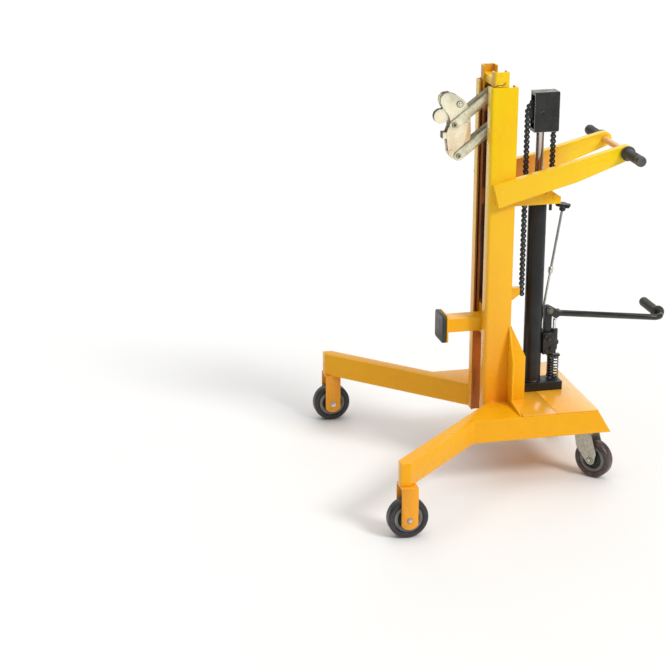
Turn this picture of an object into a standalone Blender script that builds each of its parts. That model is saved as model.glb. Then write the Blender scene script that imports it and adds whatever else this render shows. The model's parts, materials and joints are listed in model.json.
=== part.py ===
# Mobile hydraulic drum lifter with two splayed front legs.
# Metres, +Z up, +X forward (load side), +Y the operator's left. Floor at z = 0,
# origin under the middle of the overall length and width.
import math

import bmesh
import bpy
from mathutils import Matrix, Vector

for old in list(bpy.data.objects):
    bpy.data.objects.remove(old, do_unlink=True)

# Driving sizes
GAP = 0.0003
WHEEL_R = 0.0625
FRONT_WHEEL_W = 0.040
REAR_WHEEL_W = 0.036
FRONT_REACH = 0.457
REAR_REACH = 0.5635
HALF_LENGTH = (FRONT_REACH + WHEEL_R + REAR_REACH) / 2
DATUM = HALF_LENGTH - WHEEL_R - FRONT_REACH
BASE_HALF_W = 0.235
BASE_Z = 0.167
BASE_TOP = 0.241
SHEET = 0.005
LEG_W = 0.044
LEG_LINE = 0.063
LEG_END_X = 0.483
LEG_END_Y = 0.515
BEAM_W = 0.050
DECK_T = 0.004
MAST_HALF_W = 0.085
MAST_FRONT = DATUM + 0.0955
MAST_DEPTH = 0.0845
MAST_WEB = 0.006
MAST_FLANGE = 0.040
MAST_Z = 0.158
MAST_TOP = 1.258
INNER_HALF_W = 0.0755
INNER_WEB = 0.005
INNER_FLANGE = 0.0355
INNER_FRONT = DATUM + 0.084
INNER_DEPTH = 0.046
INNER_Z = 0.440
INNER_TOP = 1.304
RAM_X = DATUM - 0.0925
TUBE_R = 0.029
TUBE_TOP = 0.900
ROD_R = 0.0125
CHAIN_PITCH = 0.015875
SPROCKET_TEETH = 17
SPROCKET_R = CHAIN_PITCH / (2 * math.sin(math.pi / SPROCKET_TEETH))
SPROCKET_Z = 1.158
CHAIN_H = 0.0075
CHAIN_HALF_W = 0.0065
FRONT_AXLE_X = HALF_LENGTH - WHEEL_R
FRONT_WHEEL_Y = 0.4975
FORK_HALF_W = 0.0325
FORK_PLATE = 0.005
FORK_HALF_L = 0.0258
FORK_LOW = 0.033
FORK_END_R = 0.0305
CASTER_X = DATUM - 0.2265
CASTER_Y = BASE_HALF_W - 0.075
CASTER_TRAIL = 0.035
CASTER_TURN = math.radians(50)
BAR_X = DATUM - 0.341
BAR_Z = 1.041
BAR_R = 0.0105
ARM_T = 0.025
LEVER_X = DATUM - 0.143
LEVER_Z = 0.512
LEVER_R = 0.010
PEDAL_FLANGE_R = 0.0235
PEDAL_X = DATUM - REAR_REACH + PEDAL_FLANGE_R
PEDAL_Z = 0.456
PUSH_ARM = 0.022
LINK_UP = (DATUM + 0.0696, INNER_TOP - 0.0731)
LINK_LOW = (DATUM + 0.0536, INNER_TOP - 0.1711)
LINK_DX = 0.123
LINK_DZ = -0.095
LINK_W = 0.030
LINK_Y = 0.0195
LINK_T = 0.004
PIN_REACH = INNER_HALF_W + 0.0017
HEAD_Y = 0.015
HEAD_T = 0.004
JAW_X = LINK_UP[0] + 0.106
JAW_Z = LINK_UP[1] - 0.031

DECK_Z = BASE_TOP + GAP
DECK_TOP = DECK_Z + DECK_T
MAST_BACK = MAST_FRONT - MAST_DEPTH
DECK_FRONT_X = MAST_BACK - 0.0005
DECK_SEAM_X = DATUM - 0.100
DECK_REAR_X = DATUM - 0.239
BEAM_REAR_LOW_X = DATUM - 0.283
CHAIN_FRONT_X = RAM_X + SPROCKET_R
CHAIN_REAR_X = RAM_X - SPROCKET_R

# Materials: colour, roughness, metallic
PALETTE = {
    "yellow_paint": ((0.93, 0.52, 0.03), 0.32, 0.0),
    "black_paint": ((0.022, 0.023, 0.026), 0.42, 0.0),
    "chrome": ((0.75, 0.75, 0.76), 0.12, 1.0),
    "zinc_plate": ((0.72, 0.69, 0.58), 0.36, 0.9),
    "chain_steel": ((0.055, 0.055, 0.06), 0.45, 0.8),
    "dark_rubber": ((0.045, 0.04, 0.042), 0.7, 0.0),
    "tread_rubber": ((0.075, 0.055, 0.058), 0.6, 0.0),
    "hub_grey": ((0.17, 0.17, 0.175), 0.5, 0.2),
    "bolt_steel": ((0.62, 0.61, 0.57), 0.35, 0.95),
    "spring_steel": ((0.2, 0.2, 0.21), 0.38, 0.9),
}
MATS = {}
for key, (rgb, rough, metal) in PALETTE.items():
    mat = bpy.data.materials.new(key)
    mat.use_nodes = True
    shader = mat.node_tree.nodes["Principled BSDF"]
    shader.inputs["Base Color"].default_value = (*rgb, 1.0)
    shader.inputs["Roughness"].default_value = rough
    shader.inputs["Metallic"].default_value = metal
    mat.diffuse_color = (*rgb, 1.0)
    MATS[key] = mat

AXES = {"x": (1, 2, 0), "y": (0, 2, 1), "z": (0, 1, 2)}


def place(u, v, w, axis):
    """A point from two in-plane coordinates and one along the axis."""
    i, j, k = AXES[axis]
    p = [0.0, 0.0, 0.0]
    p[i], p[j], p[k] = u, v, w
    return Vector(p)


def circle(cx, cy, r, n=20, start=0.0):
    return [
        (cx + r * math.cos(start + 2 * math.pi * i / n), cy + r * math.sin(start + 2 * math.pi * i / n))
        for i in range(n)
    ]


def arc(cx, cy, r, a0, a1, n):
    """Points on an arc from a0 to a1 degrees, both ends included."""
    out = []
    for i in range(n + 1):
        a = math.radians(a0 + (a1 - a0) * i / n)
        out.append((cx + r * math.cos(a), cy + r * math.sin(a)))
    return out


def tidy(bm):
    bmesh.ops.recalc_face_normals(bm, faces=bm.faces)
    big = [f for f in bm.faces if len(f.verts) > 4]
    if big:
        bmesh.ops.triangulate(bm, faces=big)
    return bm


def prism(outline, axis, lo, hi, holes=()):
    """A flat outline, with holes if any, carried from lo to hi along an axis."""
    bm = bmesh.new()
    edges = []
    for loop in [outline, *holes]:
        verts = [bm.verts.new(place(u, v, lo, axis)) for u, v in loop]
        for a, b in zip(verts, verts[1:] + verts[:1]):
            edges.append(bm.edges.new((a, b)))
    if holes:
        bmesh.ops.triangle_fill(bm, use_beauty=True, use_dissolve=False, edges=edges)
    else:
        bm.faces.new(list(bm.verts))
    grown = bmesh.ops.extrude_face_region(bm, geom=list(bm.faces))["geom"]
    move = place(0.0, 0.0, hi - lo, axis)
    bmesh.ops.translate(bm, vec=move, verts=[g for g in grown if isinstance(g, bmesh.types.BMVert)])
    return tidy(bm)


def box(x0, x1, y0, y1, z0, z1):
    return prism([(x0, y0), (x1, y0), (x1, y1), (x0, y1)], "z", z0, z1)


def lathe(profile, centre, axis="z", n=32, closed=False):
    """A (radius, height) profile turned round an axis through the centre."""
    bm = bmesh.new()
    c = Vector(centre)
    rings = []
    for r, h in profile:
        if r < 1e-7:
            rings.append([bm.verts.new(c + place(0.0, 0.0, h, axis))])
        else:
            rings.append(
                [
                    bm.verts.new(
                        c
                        + place(
                            r * math.cos(2 * math.pi * i / n), r * math.sin(2 * math.pi * i / n), h, axis
                        )
                    )
                    for i in range(n)
                ]
            )
    pairs = list(zip(rings, rings[1:]))
    if closed:
        pairs.append((rings[-1], rings[0]))
    for a, b in pairs:
        for i in range(n):
            j = (i + 1) % n
            quad = [a[i % len(a)], a[j % len(a)], b[j % len(b)], b[i % len(b)]]
            corners = []
            for v in quad:
                if v not in corners:
                    corners.append(v)
            if len(corners) > 2:
                bm.faces.new(corners)
    return tidy(bm)


def bar(p0, p1, r, n=16):
    """A round bar between two points."""
    p0, p1 = Vector(p0), Vector(p1)
    bm = bmesh.new()
    d = p1 - p0
    m = Matrix.Translation((p0 + p1) / 2) @ d.to_track_quat("Z", "Y").to_matrix().to_4x4()
    bmesh.ops.create_cone(bm, cap_ends=True, segments=n, radius1=r, radius2=r, depth=d.length, matrix=m)
    return tidy(bm)


def sweep(points, r, n=12):
    """A round rod that follows a line of points, closed at both ends."""
    bm = bmesh.new()
    pts = [Vector(p) for p in points]
    up = Vector((0.0, 0.0, 1.0))
    rings = []
    for i, p in enumerate(pts):
        ahead = pts[min(i + 1, len(pts) - 1)] - pts[max(i - 1, 0)]
        t = ahead.normalized()
        side = t.cross(up).normalized()
        top = side.cross(t)
        rings.append(
            [
                bm.verts.new(
                    p + side * r * math.cos(2 * math.pi * k / n) + top * r * math.sin(2 * math.pi * k / n)
                )
                for k in range(n)
            ]
        )
    for a, b in zip(rings, rings[1:]):
        for k in range(n):
            j = (k + 1) % n
            bm.faces.new((a[k], a[j], b[j], b[k]))
    bm.faces.new(rings[0])
    bm.faces.new(rings[-1])
    return tidy(bm)


def combine(parts, op="UNION"):
    """Joins the solids, or cuts the rest from the first."""
    group = bpy.data.collections.new("pieces")
    objs = []
    for i, bm in enumerate(parts):
        me = bpy.data.meshes.new("piece")
        bm.to_mesh(me)
        bm.free()
        ob = bpy.data.objects.new("piece%d" % i, me)
        if i:
            group.objects.link(ob)
        else:
            bpy.context.scene.collection.objects.link(ob)
        objs.append(ob)
    bpy.context.scene.collection.children.link(group)
    mod = objs[0].modifiers.new("join", "BOOLEAN")
    mod.operation = op
    mod.solver = "EXACT"
    mod.operand_type = "COLLECTION"
    mod.collection = group
    bpy.context.view_layer.update()
    graph = bpy.context.evaluated_depsgraph_get()
    out = bmesh.new()
    out.from_mesh(objs[0].evaluated_get(graph).to_mesh())
    for ob in objs:
        me = ob.data
        bpy.data.objects.remove(ob, do_unlink=True)
        bpy.data.meshes.remove(me)
    bpy.data.collections.remove(group)
    return tidy(out)


def mirrored(bm):
    """A copy on the other side of the middle plane."""
    out = bm.copy()
    bmesh.ops.scale(out, vec=(1.0, -1.0, 1.0), verts=out.verts)
    bmesh.ops.reverse_faces(out, faces=out.faces)
    return out


def node(name, bm, mat, origin=(0.0, 0.0, 0.0), turn=0.0, smooth=None):
    """One named piece; its origin lies on its joint axis where it has one."""
    c = Vector(origin)
    if turn:
        bmesh.ops.rotate(bm, cent=(0, 0, 0), matrix=Matrix.Rotation(turn, 3, "Y"), verts=bm.verts)
        bmesh.ops.translate(bm, vec=c, verts=bm.verts)
    bmesh.ops.translate(bm, vec=-c, verts=bm.verts)
    me = bpy.data.meshes.new(name)
    bm.to_mesh(me)
    bm.free()
    me.materials.append(MATS[mat])
    if smooth:
        me.shade_smooth()
        me.set_sharp_from_angle(angle=math.radians(smooth))
    ob = bpy.data.objects.new(name, me)
    ob.location = c
    bpy.context.scene.collection.objects.link(ob)
    return ob


def pair(name, bm, mat, origin=(0.0, 0.0, 0.0), smooth=None):
    """The left piece and its mirror image on the right."""
    other = mirrored(bm)
    x, y, z = origin
    node("left_" + name, bm, mat, (x, y, z), smooth=smooth)
    node("right_" + name, other, mat, (x, -y, z), smooth=smooth)


def hexagon(cx, cy, across):
    return circle(cx, cy, across / math.sqrt(3), 6)


# Base: each side is one welded box, a beam under the deck edge and a splayed leg to its front post
LEG_OUT = LEG_LINE - DATUM
LEG_IN = LEG_OUT - LEG_W * math.sqrt(2)
LEG_X1 = DATUM + LEG_END_X
MAST_SIDE = MAST_HALF_W + GAP


def base_outline(rear_x, inset=0.0):
    """Plan of the left side box, drawn in by an inset."""
    k = inset
    d = inset * math.sqrt(2)
    q = inset * math.tan(math.radians(22.5))
    return [
        (rear_x + k, BASE_HALF_W - k),
        (BASE_HALF_W - LEG_OUT + q, BASE_HALF_W - k),
        (LEG_END_Y - k - LEG_OUT + d, LEG_END_Y - k),
        (LEG_X1 - k, LEG_END_Y - k),
        (LEG_X1 - k, LEG_X1 - k + LEG_IN + d),
        (MAST_SIDE + k - LEG_IN - d, MAST_SIDE + k),
        (DECK_FRONT_X + k, MAST_SIDE + k),
        (DECK_FRONT_X + k, BASE_HALF_W - BEAM_W + k),
        (rear_x + k, BASE_HALF_W - BEAM_W + k),
    ]


def side_box():
    """A pressed box, open underneath, with a raked rear end."""
    rake = (DECK_REAR_X - BEAM_REAR_LOW_X) / (BASE_TOP - BASE_Z)
    roof = BASE_TOP - SHEET
    rings = []
    bm = bmesh.new()
    for z, inset in ((BASE_TOP, 0.0), (BASE_Z, 0.0), (BASE_Z, SHEET), (roof, SHEET)):
        rear = DECK_REAR_X - rake * (BASE_TOP - z)
        rings.append([bm.verts.new((x, y, z)) for x, y in base_outline(rear, inset)])
    for a, b in zip(rings, rings[1:]):
        for i in range(len(a)):
            j = (i + 1) % len(a)
            bm.faces.new((a[i], a[j], b[j], b[i]))
    bm.faces.new(rings[0])
    bm.faces.new(rings[-1])
    return tidy(bm)


pair("beam", side_box(), "yellow_paint")

node(
    "deck_front",
    box(DECK_SEAM_X + GAP, DECK_FRONT_X, -BASE_HALF_W + 0.002, BASE_HALF_W - 0.002, DECK_Z, DECK_TOP),
    "yellow_paint",
)
node(
    "deck_rear",
    box(DECK_REAR_X, DECK_SEAM_X - GAP, -BASE_HALF_W + 0.002, BASE_HALF_W - 0.002, DECK_Z, DECK_TOP),
    "yellow_paint",
)
CROSS_Y = BASE_HALF_W - BEAM_W - GAP
node(
    "front_cross_plate",
    box(DECK_FRONT_X - 0.006, DECK_FRONT_X, -CROSS_Y, CROSS_Y, BASE_Z, BASE_TOP),
    "yellow_paint",
)
node(
    "rear_cross_plate",
    box(CASTER_X - 0.045, CASTER_X + 0.050, -CROSS_Y, CROSS_Y, BASE_Z, BASE_Z + 0.008),
    "yellow_paint",
)

# Mast: two outer channels that face each other, front corner rounded, foot chamfered
R_CORNER = 0.008


def channel(front, depth, half_w, web, flange, z0, z1, corner):
    """A left-hand channel, web outside and flanges towards the middle."""
    back = front - depth
    pts = arc(front - corner, half_w - corner, corner, 0, 90, 3)
    pts += [(back, half_w), (back, half_w - flange), (back + web, half_w - flange)]
    pts += [(back + web, half_w - web), (front - web, half_w - web)]
    pts += [(front - web, half_w - flange), (front, half_w - flange)]
    return prism(pts, "z", z0, z1)


outer = channel(MAST_FRONT, MAST_DEPTH, MAST_HALF_W, MAST_WEB, MAST_FLANGE, MAST_Z, MAST_TOP, R_CORNER)
FOOT_CUT = 0.016
wedge = prism(
    [
        (MAST_FRONT - FOOT_CUT, MAST_Z - 0.001),
        (MAST_FRONT + 0.001, MAST_Z - 0.001),
        (MAST_FRONT + 0.001, MAST_Z + FOOT_CUT),
    ],
    "y",
    0.0,
    0.1,
)
pair("mast_channel", combine([outer, wedge], "DIFFERENCE"), "yellow_paint")

# Mast stays: a plate behind each channel, joined to a cross stay that runs out to the beam
GUSSET_T = 0.006
STAY_X = MAST_BACK + 0.0008
side_stay = prism(
    [
        (MAST_BACK - GAP, DECK_TOP + GAP),
        (MAST_BACK - GAP, 0.496),
        (DATUM - 0.041, 0.388),
        (DATUM - 0.041, DECK_TOP + GAP),
    ],
    "y",
    MAST_HALF_W - GUSSET_T + 0.001,
    MAST_HALF_W + 0.002,
)
cross_stay = prism(
    [
        (MAST_HALF_W + GAP, BASE_TOP + GAP),
        (MAST_HALF_W + GAP, 0.494),
        (MAST_HALF_W + 0.050, 0.385),
        (MAST_HALF_W + 0.050, 0.258),
        (BASE_HALF_W - 0.012, BASE_TOP + 0.003),
        (BASE_HALF_W - 0.012, BASE_TOP + GAP),
    ],
    "x",
    STAY_X,
    STAY_X + GUSSET_T,
)
tie_strip = box(MAST_BACK - 0.0045, STAY_X + 0.001, MAST_HALF_W + GAP, MAST_HALF_W + 0.0075, DECK_TOP + GAP, 0.42)
pair("mast_gusset", combine([side_stay, cross_stay, tie_strip]), "yellow_paint")

# Front forks and wheels
AXLE_Z = WHEEL_R


def fork_cheek(y0, y1):
    pts = [(FRONT_AXLE_X + FORK_HALF_L, BASE_Z - GAP), (FRONT_AXLE_X - FORK_HALF_L, BASE_Z - GAP)]
    turn = math.degrees(math.acos(FORK_HALF_L / FORK_END_R))
    pts += arc(FRONT_AXLE_X, FORK_LOW + FORK_END_R, FORK_END_R, 180 + turn, 360 - turn, 10)
    return prism(pts, "y", y0, y1, [circle(FRONT_AXLE_X, AXLE_Z, 0.0053, 12)])


FORK_Y0, FORK_Y1 = FRONT_WHEEL_Y - FORK_HALF_W, FRONT_WHEEL_Y + FORK_HALF_W
crown = box(FRONT_AXLE_X - FORK_HALF_L, FRONT_AXLE_X + FORK_HALF_L, FORK_Y0 + 0.002, FORK_Y1 - 0.002,
            BASE_Z - GAP - FORK_PLATE, BASE_Z - GAP)
pair(
    "fork",
    combine([fork_cheek(FORK_Y1 - FORK_PLATE, FORK_Y1), fork_cheek(FORK_Y0, FORK_Y0 + FORK_PLATE), crown]),
    "yellow_paint",
)
axle = bar((FRONT_AXLE_X, FORK_Y0 - 0.012, AXLE_Z), (FRONT_AXLE_X, FORK_Y1 + 0.004, AXLE_Z), 0.005, 16)
head = prism(hexagon(FRONT_AXLE_X, AXLE_Z, 0.015), "y", FORK_Y1 + GAP, FORK_Y1 + 0.006)
nut = prism(hexagon(FRONT_AXLE_X, AXLE_Z, 0.015), "y", FORK_Y0 - 0.008, FORK_Y0 - GAP)
pair("front_axle", combine([axle, head, nut]), "bolt_steel")


def tyre(width, n=40):
    h = width / 2
    return [
        (0.044, -h + 0.003),
        (0.052, -h),
        (0.058, -h + 0.002),
        (WHEEL_R, -h + 0.008),
        (WHEEL_R, h - 0.008),
        (0.058, h - 0.002),
        (0.052, h),
        (0.044, h - 0.003),
    ]


def hub(width, length):
    h, q = width / 2, length / 2
    r = 0.044 - GAP
    return [
        (0.0055, -q),
        (0.015, -q),
        (0.018, -0.010),
        (0.036, -0.008),
        (0.037, -h + 0.004),
        (r, -h + 0.004),
        (r, h - 0.004),
        (0.037, h - 0.004),
        (0.036, 0.008),
        (0.018, 0.010),
        (0.015, q),
        (0.0055, q),
    ]


FRONT_WHEEL = (FRONT_AXLE_X, FRONT_WHEEL_Y, AXLE_Z)
pair(
    "front_tyre",
    lathe(tyre(FRONT_WHEEL_W), FRONT_WHEEL, "y", 40, True),
    "tread_rubber",
    FRONT_WHEEL,
    smooth=35,
)
pair("front_hub", lathe(hub(FRONT_WHEEL_W, 2 * (FORK_HALF_W - FORK_PLATE) - 0.003), FRONT_WHEEL, "y", 32, True), "hub_grey", FRONT_WHEEL, 35)

# Rear swivel casters, turned as they stand
PLATE_TOP = BASE_Z - GAP
PLATE_T = 0.004


def rounded_rect(cx, cy, w, d, r):
    pts = []
    for sx, sy, a in ((1, 1, 0), (-1, 1, 90), (-1, -1, 180), (1, -1, 270)):
        pts += arc(cx + sx * (w / 2 - r), cy + sy * (d / 2 - r), r, a, a + 90, 3)
    return pts


plate = prism(rounded_rect(CASTER_X, CASTER_Y, 0.088, 0.078, 0.008), "z", PLATE_TOP - PLATE_T, PLATE_TOP)
race = lathe(
    [(0.0, -0.018), (0.010, -0.018), (0.010, -0.012), (0.029, -0.012), (0.031, -0.006), (0.031, 0.0), (0.0, 0.0)],
    (CASTER_X, CASTER_Y, PLATE_TOP - PLATE_T + 0.0005),
    "z",
    28,
)
pair("caster_plate", combine([plate, race]), "zinc_plate", (CASTER_X, CASTER_Y, PLATE_TOP))

CROWN_TOP = PLATE_TOP - PLATE_T - 0.012
CROWN_LOW = CROWN_TOP - 0.009
CHEEK_Y = 0.0255
cheek_pts = [(0.026, CROWN_TOP), (-0.024, CROWN_TOP), (-0.050, AXLE_Z + 0.020)]
cheek_pts += arc(-CASTER_TRAIL, AXLE_Z, 0.0145, 170, 330, 8)
cheek_pts += [(0.0, AXLE_Z + 0.035)]
cheek_hole = [circle(-CASTER_TRAIL, AXLE_Z, 0.0045, 12)]


def caster_fork():
    """Fork about its own swivel axis, trailing straight back."""
    sides = [prism(cheek_pts, "y", s * CHEEK_Y - 0.0015, s * CHEEK_Y + 0.0015, cheek_hole) for s in (1, -1)]
    top = lathe(
        [(0.0107, 0.0), (0.0275, 0.0), (0.0275, 0.009), (0.0107, 0.009)], (0, 0, CROWN_LOW), "z", 28, True
    )
    bolt = bar((-CASTER_TRAIL, -0.032, AXLE_Z), (-CASTER_TRAIL, 0.030, AXLE_Z), 0.0048, 16)
    head_l = prism(hexagon(-CASTER_TRAIL, AXLE_Z, 0.014), "y", CHEEK_Y + 0.001, CHEEK_Y + 0.008)
    head_r = prism(hexagon(-CASTER_TRAIL, AXLE_Z, 0.014), "y", -CHEEK_Y - 0.008, -CHEEK_Y - 0.001)
    return combine([top, *sides, bolt, head_l, head_r])


REAR_WHEEL = (
    CASTER_X - CASTER_TRAIL * math.cos(CASTER_TURN),
    CASTER_Y + CASTER_TRAIL * math.sin(CASTER_TURN),
    AXLE_Z,
)
SPIN = Matrix.Rotation(-CASTER_TURN, 3, "Z")
fork_bm = caster_fork()
bmesh.ops.rotate(fork_bm, cent=(0, 0, 0), matrix=SPIN, verts=fork_bm.verts)
bmesh.ops.translate(fork_bm, vec=(CASTER_X, CASTER_Y, 0.0), verts=fork_bm.verts)
pair("caster_fork", fork_bm, "zinc_plate", (CASTER_X, CASTER_Y, CROWN_TOP))


def rear_wheel(profile, n):
    bm = lathe(profile, (0, 0, 0), "y", n, True)
    bmesh.ops.rotate(bm, cent=(0, 0, 0), matrix=SPIN, verts=bm.verts)
    bmesh.ops.translate(bm, vec=REAR_WHEEL, verts=bm.verts)
    return bm


pair("rear_tyre", rear_wheel(tyre(REAR_WHEEL_W), 40), "tread_rubber", REAR_WHEEL, 35)
pair("rear_hub", rear_wheel(hub(REAR_WHEEL_W, 0.044), 32), "hub_grey", REAR_WHEEL, 35)

# Push handle: two tapered arms welded to the mast, a cross bar through them and rubber grips
ARM_IN = MAST_HALF_W + GAP
ARM_OUT = ARM_IN + ARM_T
arm_pts = [
    (DATUM + 0.071, 0.888),
    (DATUM + 0.088, 0.958),
    (DATUM + 0.040, 0.971),
    (DATUM - 0.105, 1.004),
]
arm_pts += arc(BAR_X, BAR_Z, 0.0235, 104, -70, 10)[::1]
arm_pts = arm_pts[:4] + arc(BAR_X, BAR_Z, 0.0235, 76, 250, 12) + [(DATUM - 0.182, 0.957), (DATUM - 0.073, 0.928)]
pair("handle_arm", prism(arm_pts, "y", ARM_IN, ARM_OUT, [circle(BAR_X, BAR_Z, BAR_R + GAP, 20)]), "yellow_paint")
node(
    "handle_bar",
    bar((BAR_X, -0.205, BAR_Z), (BAR_X, 0.205, BAR_Z), BAR_R, 20),
    "yellow_paint",
    smooth=35,
)
GRIP_Y = ARM_OUT + 0.004
grip = [
    (BAR_R + GAP, 0.0),
    (0.0235, 0.0),
    (0.0235, 0.006),
    (0.0190, 0.010),
    (0.0165, 0.030),
    (0.0150, 0.060),
    (0.0150, 0.090),
    (0.0165, 0.098),
    (0.0165, 0.110),
    (0.0145, 0.114),
    (0.0, 0.114),
    (0.0, 0.096),
    (BAR_R + GAP, 0.096),
]
pair("grip", lathe(grip, (BAR_X, GRIP_Y, BAR_Z), "y", 28, True), "dark_rubber", (BAR_X, GRIP_Y, BAR_Z), 40)

# Bracket between the mast and the top of the cylinder, slotted for the chain and its lug
BRACKET_Z = 0.876
BRACKET_T = 0.006
BRACKET_W = 0.047
BRACKET_REAR = RAM_X - 0.058
SLOT_W = 0.011
SLOT_X = CHAIN_FRONT_X - 0.011
tray_pts = [
    (MAST_BACK - GAP, BRACKET_W + 0.001),
    (BRACKET_REAR, BRACKET_W + 0.001),
    (BRACKET_REAR, -BRACKET_W - 0.001),
    (MAST_BACK - GAP, -BRACKET_W - 0.001),
    (MAST_BACK - GAP, -SLOT_W),
    (SLOT_X, -SLOT_W),
    (SLOT_X, SLOT_W),
    (MAST_BACK - GAP, SLOT_W),
]
tray = prism(
    tray_pts,
    "z",
    BRACKET_Z,
    BRACKET_Z + BRACKET_T,
    [circle(RAM_X, 0.0, TUBE_R + GAP, 32), circle(CHAIN_REAR_X, 0.0, 0.0053, 12)],
)
cheek_side = [
    (MAST_BACK - GAP, BRACKET_Z),
    (MAST_BACK - GAP, BRACKET_Z + 0.042),
    (BRACKET_REAR + 0.030, BRACKET_Z + 0.042),
    (BRACKET_REAR, BRACKET_Z + 0.022),
    (BRACKET_REAR, BRACKET_Z),
]
cheeks = [prism(cheek_side, "y", s * (BRACKET_W + 0.003) - 0.003, s * (BRACKET_W + 0.003) + 0.003) for s in (1, -1)]
node("cylinder_bracket", combine([tray, *cheeks]), "yellow_paint")

# Lift cylinder, chrome ram, pump base
BASE_BLOCK_TOP = DECK_TOP + GAP + 0.0285
tube_low = BASE_BLOCK_TOP + GAP
node(
    "cylinder_tube",
    lathe(
        [
            (0.0, tube_low),
            (TUBE_R, tube_low),
            (TUBE_R, TUBE_TOP - 0.003),
            (TUBE_R - 0.002, TUBE_TOP),
            (ROD_R + GAP, TUBE_TOP),
            (ROD_R + GAP, TUBE_TOP - 0.030),
            (TUBE_R - 0.005, TUBE_TOP - 0.030),
            (TUBE_R - 0.005, tube_low + 0.006),
            (0.0, tube_low + 0.006),
        ],
        (RAM_X, 0, 0),
        "z",
        36,
    ),
    "black_paint",
    smooth=35,
)
node(
    "pump_base",
    box(DATUM - 0.188, DATUM - 0.0615, -0.033, 0.033, DECK_TOP + GAP, BASE_BLOCK_TOP),
    "black_paint",
)
HOUSING_Z0, HOUSING_Z1 = 1.099, 1.226
ROD_TOP = HOUSING_Z0 - GAP
node(
    "piston_rod",
    lathe(
        [
            (0.0, 0.430),
            (TUBE_R - 0.0055, 0.430),
            (TUBE_R - 0.0055, 0.445),
            (ROD_R, 0.445),
            (ROD_R, ROD_TOP),
            (0.0, ROD_TOP),
        ],
        (RAM_X, 0, 0),
        "z",
        32,
    ),
    "chrome",
    smooth=35,
)

# Sprocket and its guard on top of the ram
HOUSING_X0, HOUSING_X1 = DATUM - 0.147, DATUM - 0.065
HOUSING_Y = 0.020
SIDE_T = 0.003
sides = [
    box(HOUSING_X0, HOUSING_X1, s * (HOUSING_Y - SIDE_T / 2) - SIDE_T / 2, s * (HOUSING_Y - SIDE_T / 2) + SIDE_T / 2,
        HOUSING_Z0, HOUSING_Z1)
    for s in (1, -1)
]
roof = box(HOUSING_X0 + 0.0002, HOUSING_X1 - 0.0002, -HOUSING_Y + 0.001, HOUSING_Y - 0.001, HOUSING_Z1 - 0.003,
           HOUSING_Z1 - 0.0002)
rear_wall = box(HOUSING_X0 + 0.0002, HOUSING_X0 + 0.0022, -HOUSING_Y + 0.001, HOUSING_Y - 0.001, HOUSING_Z0 + 0.020,
                HOUSING_Z1 - 0.001)
sill = box(RAM_X - 0.017, HOUSING_X1 - 0.0002, -HOUSING_Y + 0.001, HOUSING_Y - 0.001, HOUSING_Z0 + 0.0002,
           HOUSING_Z0 + 0.010)
visor = box(HOUSING_X1 - 0.0032, HOUSING_X1 - 0.0002, -HOUSING_Y + 0.001, HOUSING_Y - 0.001, HOUSING_Z1 - 0.012,
            HOUSING_Z1 - 0.001)
spindle = bar((RAM_X, -HOUSING_Y - 0.0015, SPROCKET_Z), (RAM_X, HOUSING_Y + 0.0015, SPROCKET_Z), 0.006, 16)
node(
    "sprocket_housing",
    combine([sides[0], sides[1], roof, rear_wall, sill, visor, spindle]),
    "black_paint",
)


def sprocket_outline():
    pts = []
    for i in range(SPROCKET_TEETH):
        a = 2 * math.pi * i / SPROCKET_TEETH
        half = math.pi / SPROCKET_TEETH
        for da, r in ((-0.45, 0.0375), (0.0, 0.0360), (0.45, 0.0375), (0.85, 0.0412), (1.15, 0.0412)):
            ang = a + da * half
            pts.append((RAM_X + r * math.cos(ang), SPROCKET_Z + r * math.sin(ang)))
    return pts


wheel_plate = prism(sprocket_outline(), "y", -0.0028, 0.0028, [circle(RAM_X, SPROCKET_Z, 0.0063, 20)])
boss = lathe(
    [(0.0063, -0.0165), (0.014, -0.0165), (0.014, 0.0165), (0.0063, 0.0165)],
    (RAM_X, 0, SPROCKET_Z),
    "y",
    20,
    True,
)
node("sprocket", combine([wheel_plate, boss]), "chain_steel", (RAM_X, 0, SPROCKET_Z))

# Lift chain: a front run to the carriage lug, the wrap over the sprocket, a rear run to its anchor


def run_outline(x, z0, z1):
    """Scalloped side view of a straight chain run."""
    count = max(2, round((z1 - z0) / CHAIN_PITCH))
    step = (z1 - z0) / count
    right = []
    for i in range(count):
        z = z0 + i * step
        right += [(CHAIN_H, z + 0.16 * step), (CHAIN_H, z + 0.64 * step), (CHAIN_H - 0.0022, z + 0.9 * step)]
    right = [(CHAIN_H - 0.0022, z0)] + right[:-1] + [(CHAIN_H - 0.0022, z1)]
    left = [(-w, z) for w, z in reversed(right)]
    return [(x + w, z) for w, z in right + left]


LUG_Z = 0.575
ANCHOR_TOP = 0.930
WRAP_LOW = SPROCKET_Z - 0.023
node(
    "chain_front_run",
    prism(run_outline(CHAIN_FRONT_X, LUG_Z - 0.010, WRAP_LOW - GAP), "y", -CHAIN_HALF_W, CHAIN_HALF_W),
    "chain_steel",
)
node(
    "chain_rear_run",
    prism(run_outline(CHAIN_REAR_X, ANCHOR_TOP + GAP, WRAP_LOW - GAP), "y", -CHAIN_HALF_W, CHAIN_HALF_W),
    "chain_steel",
)


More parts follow.
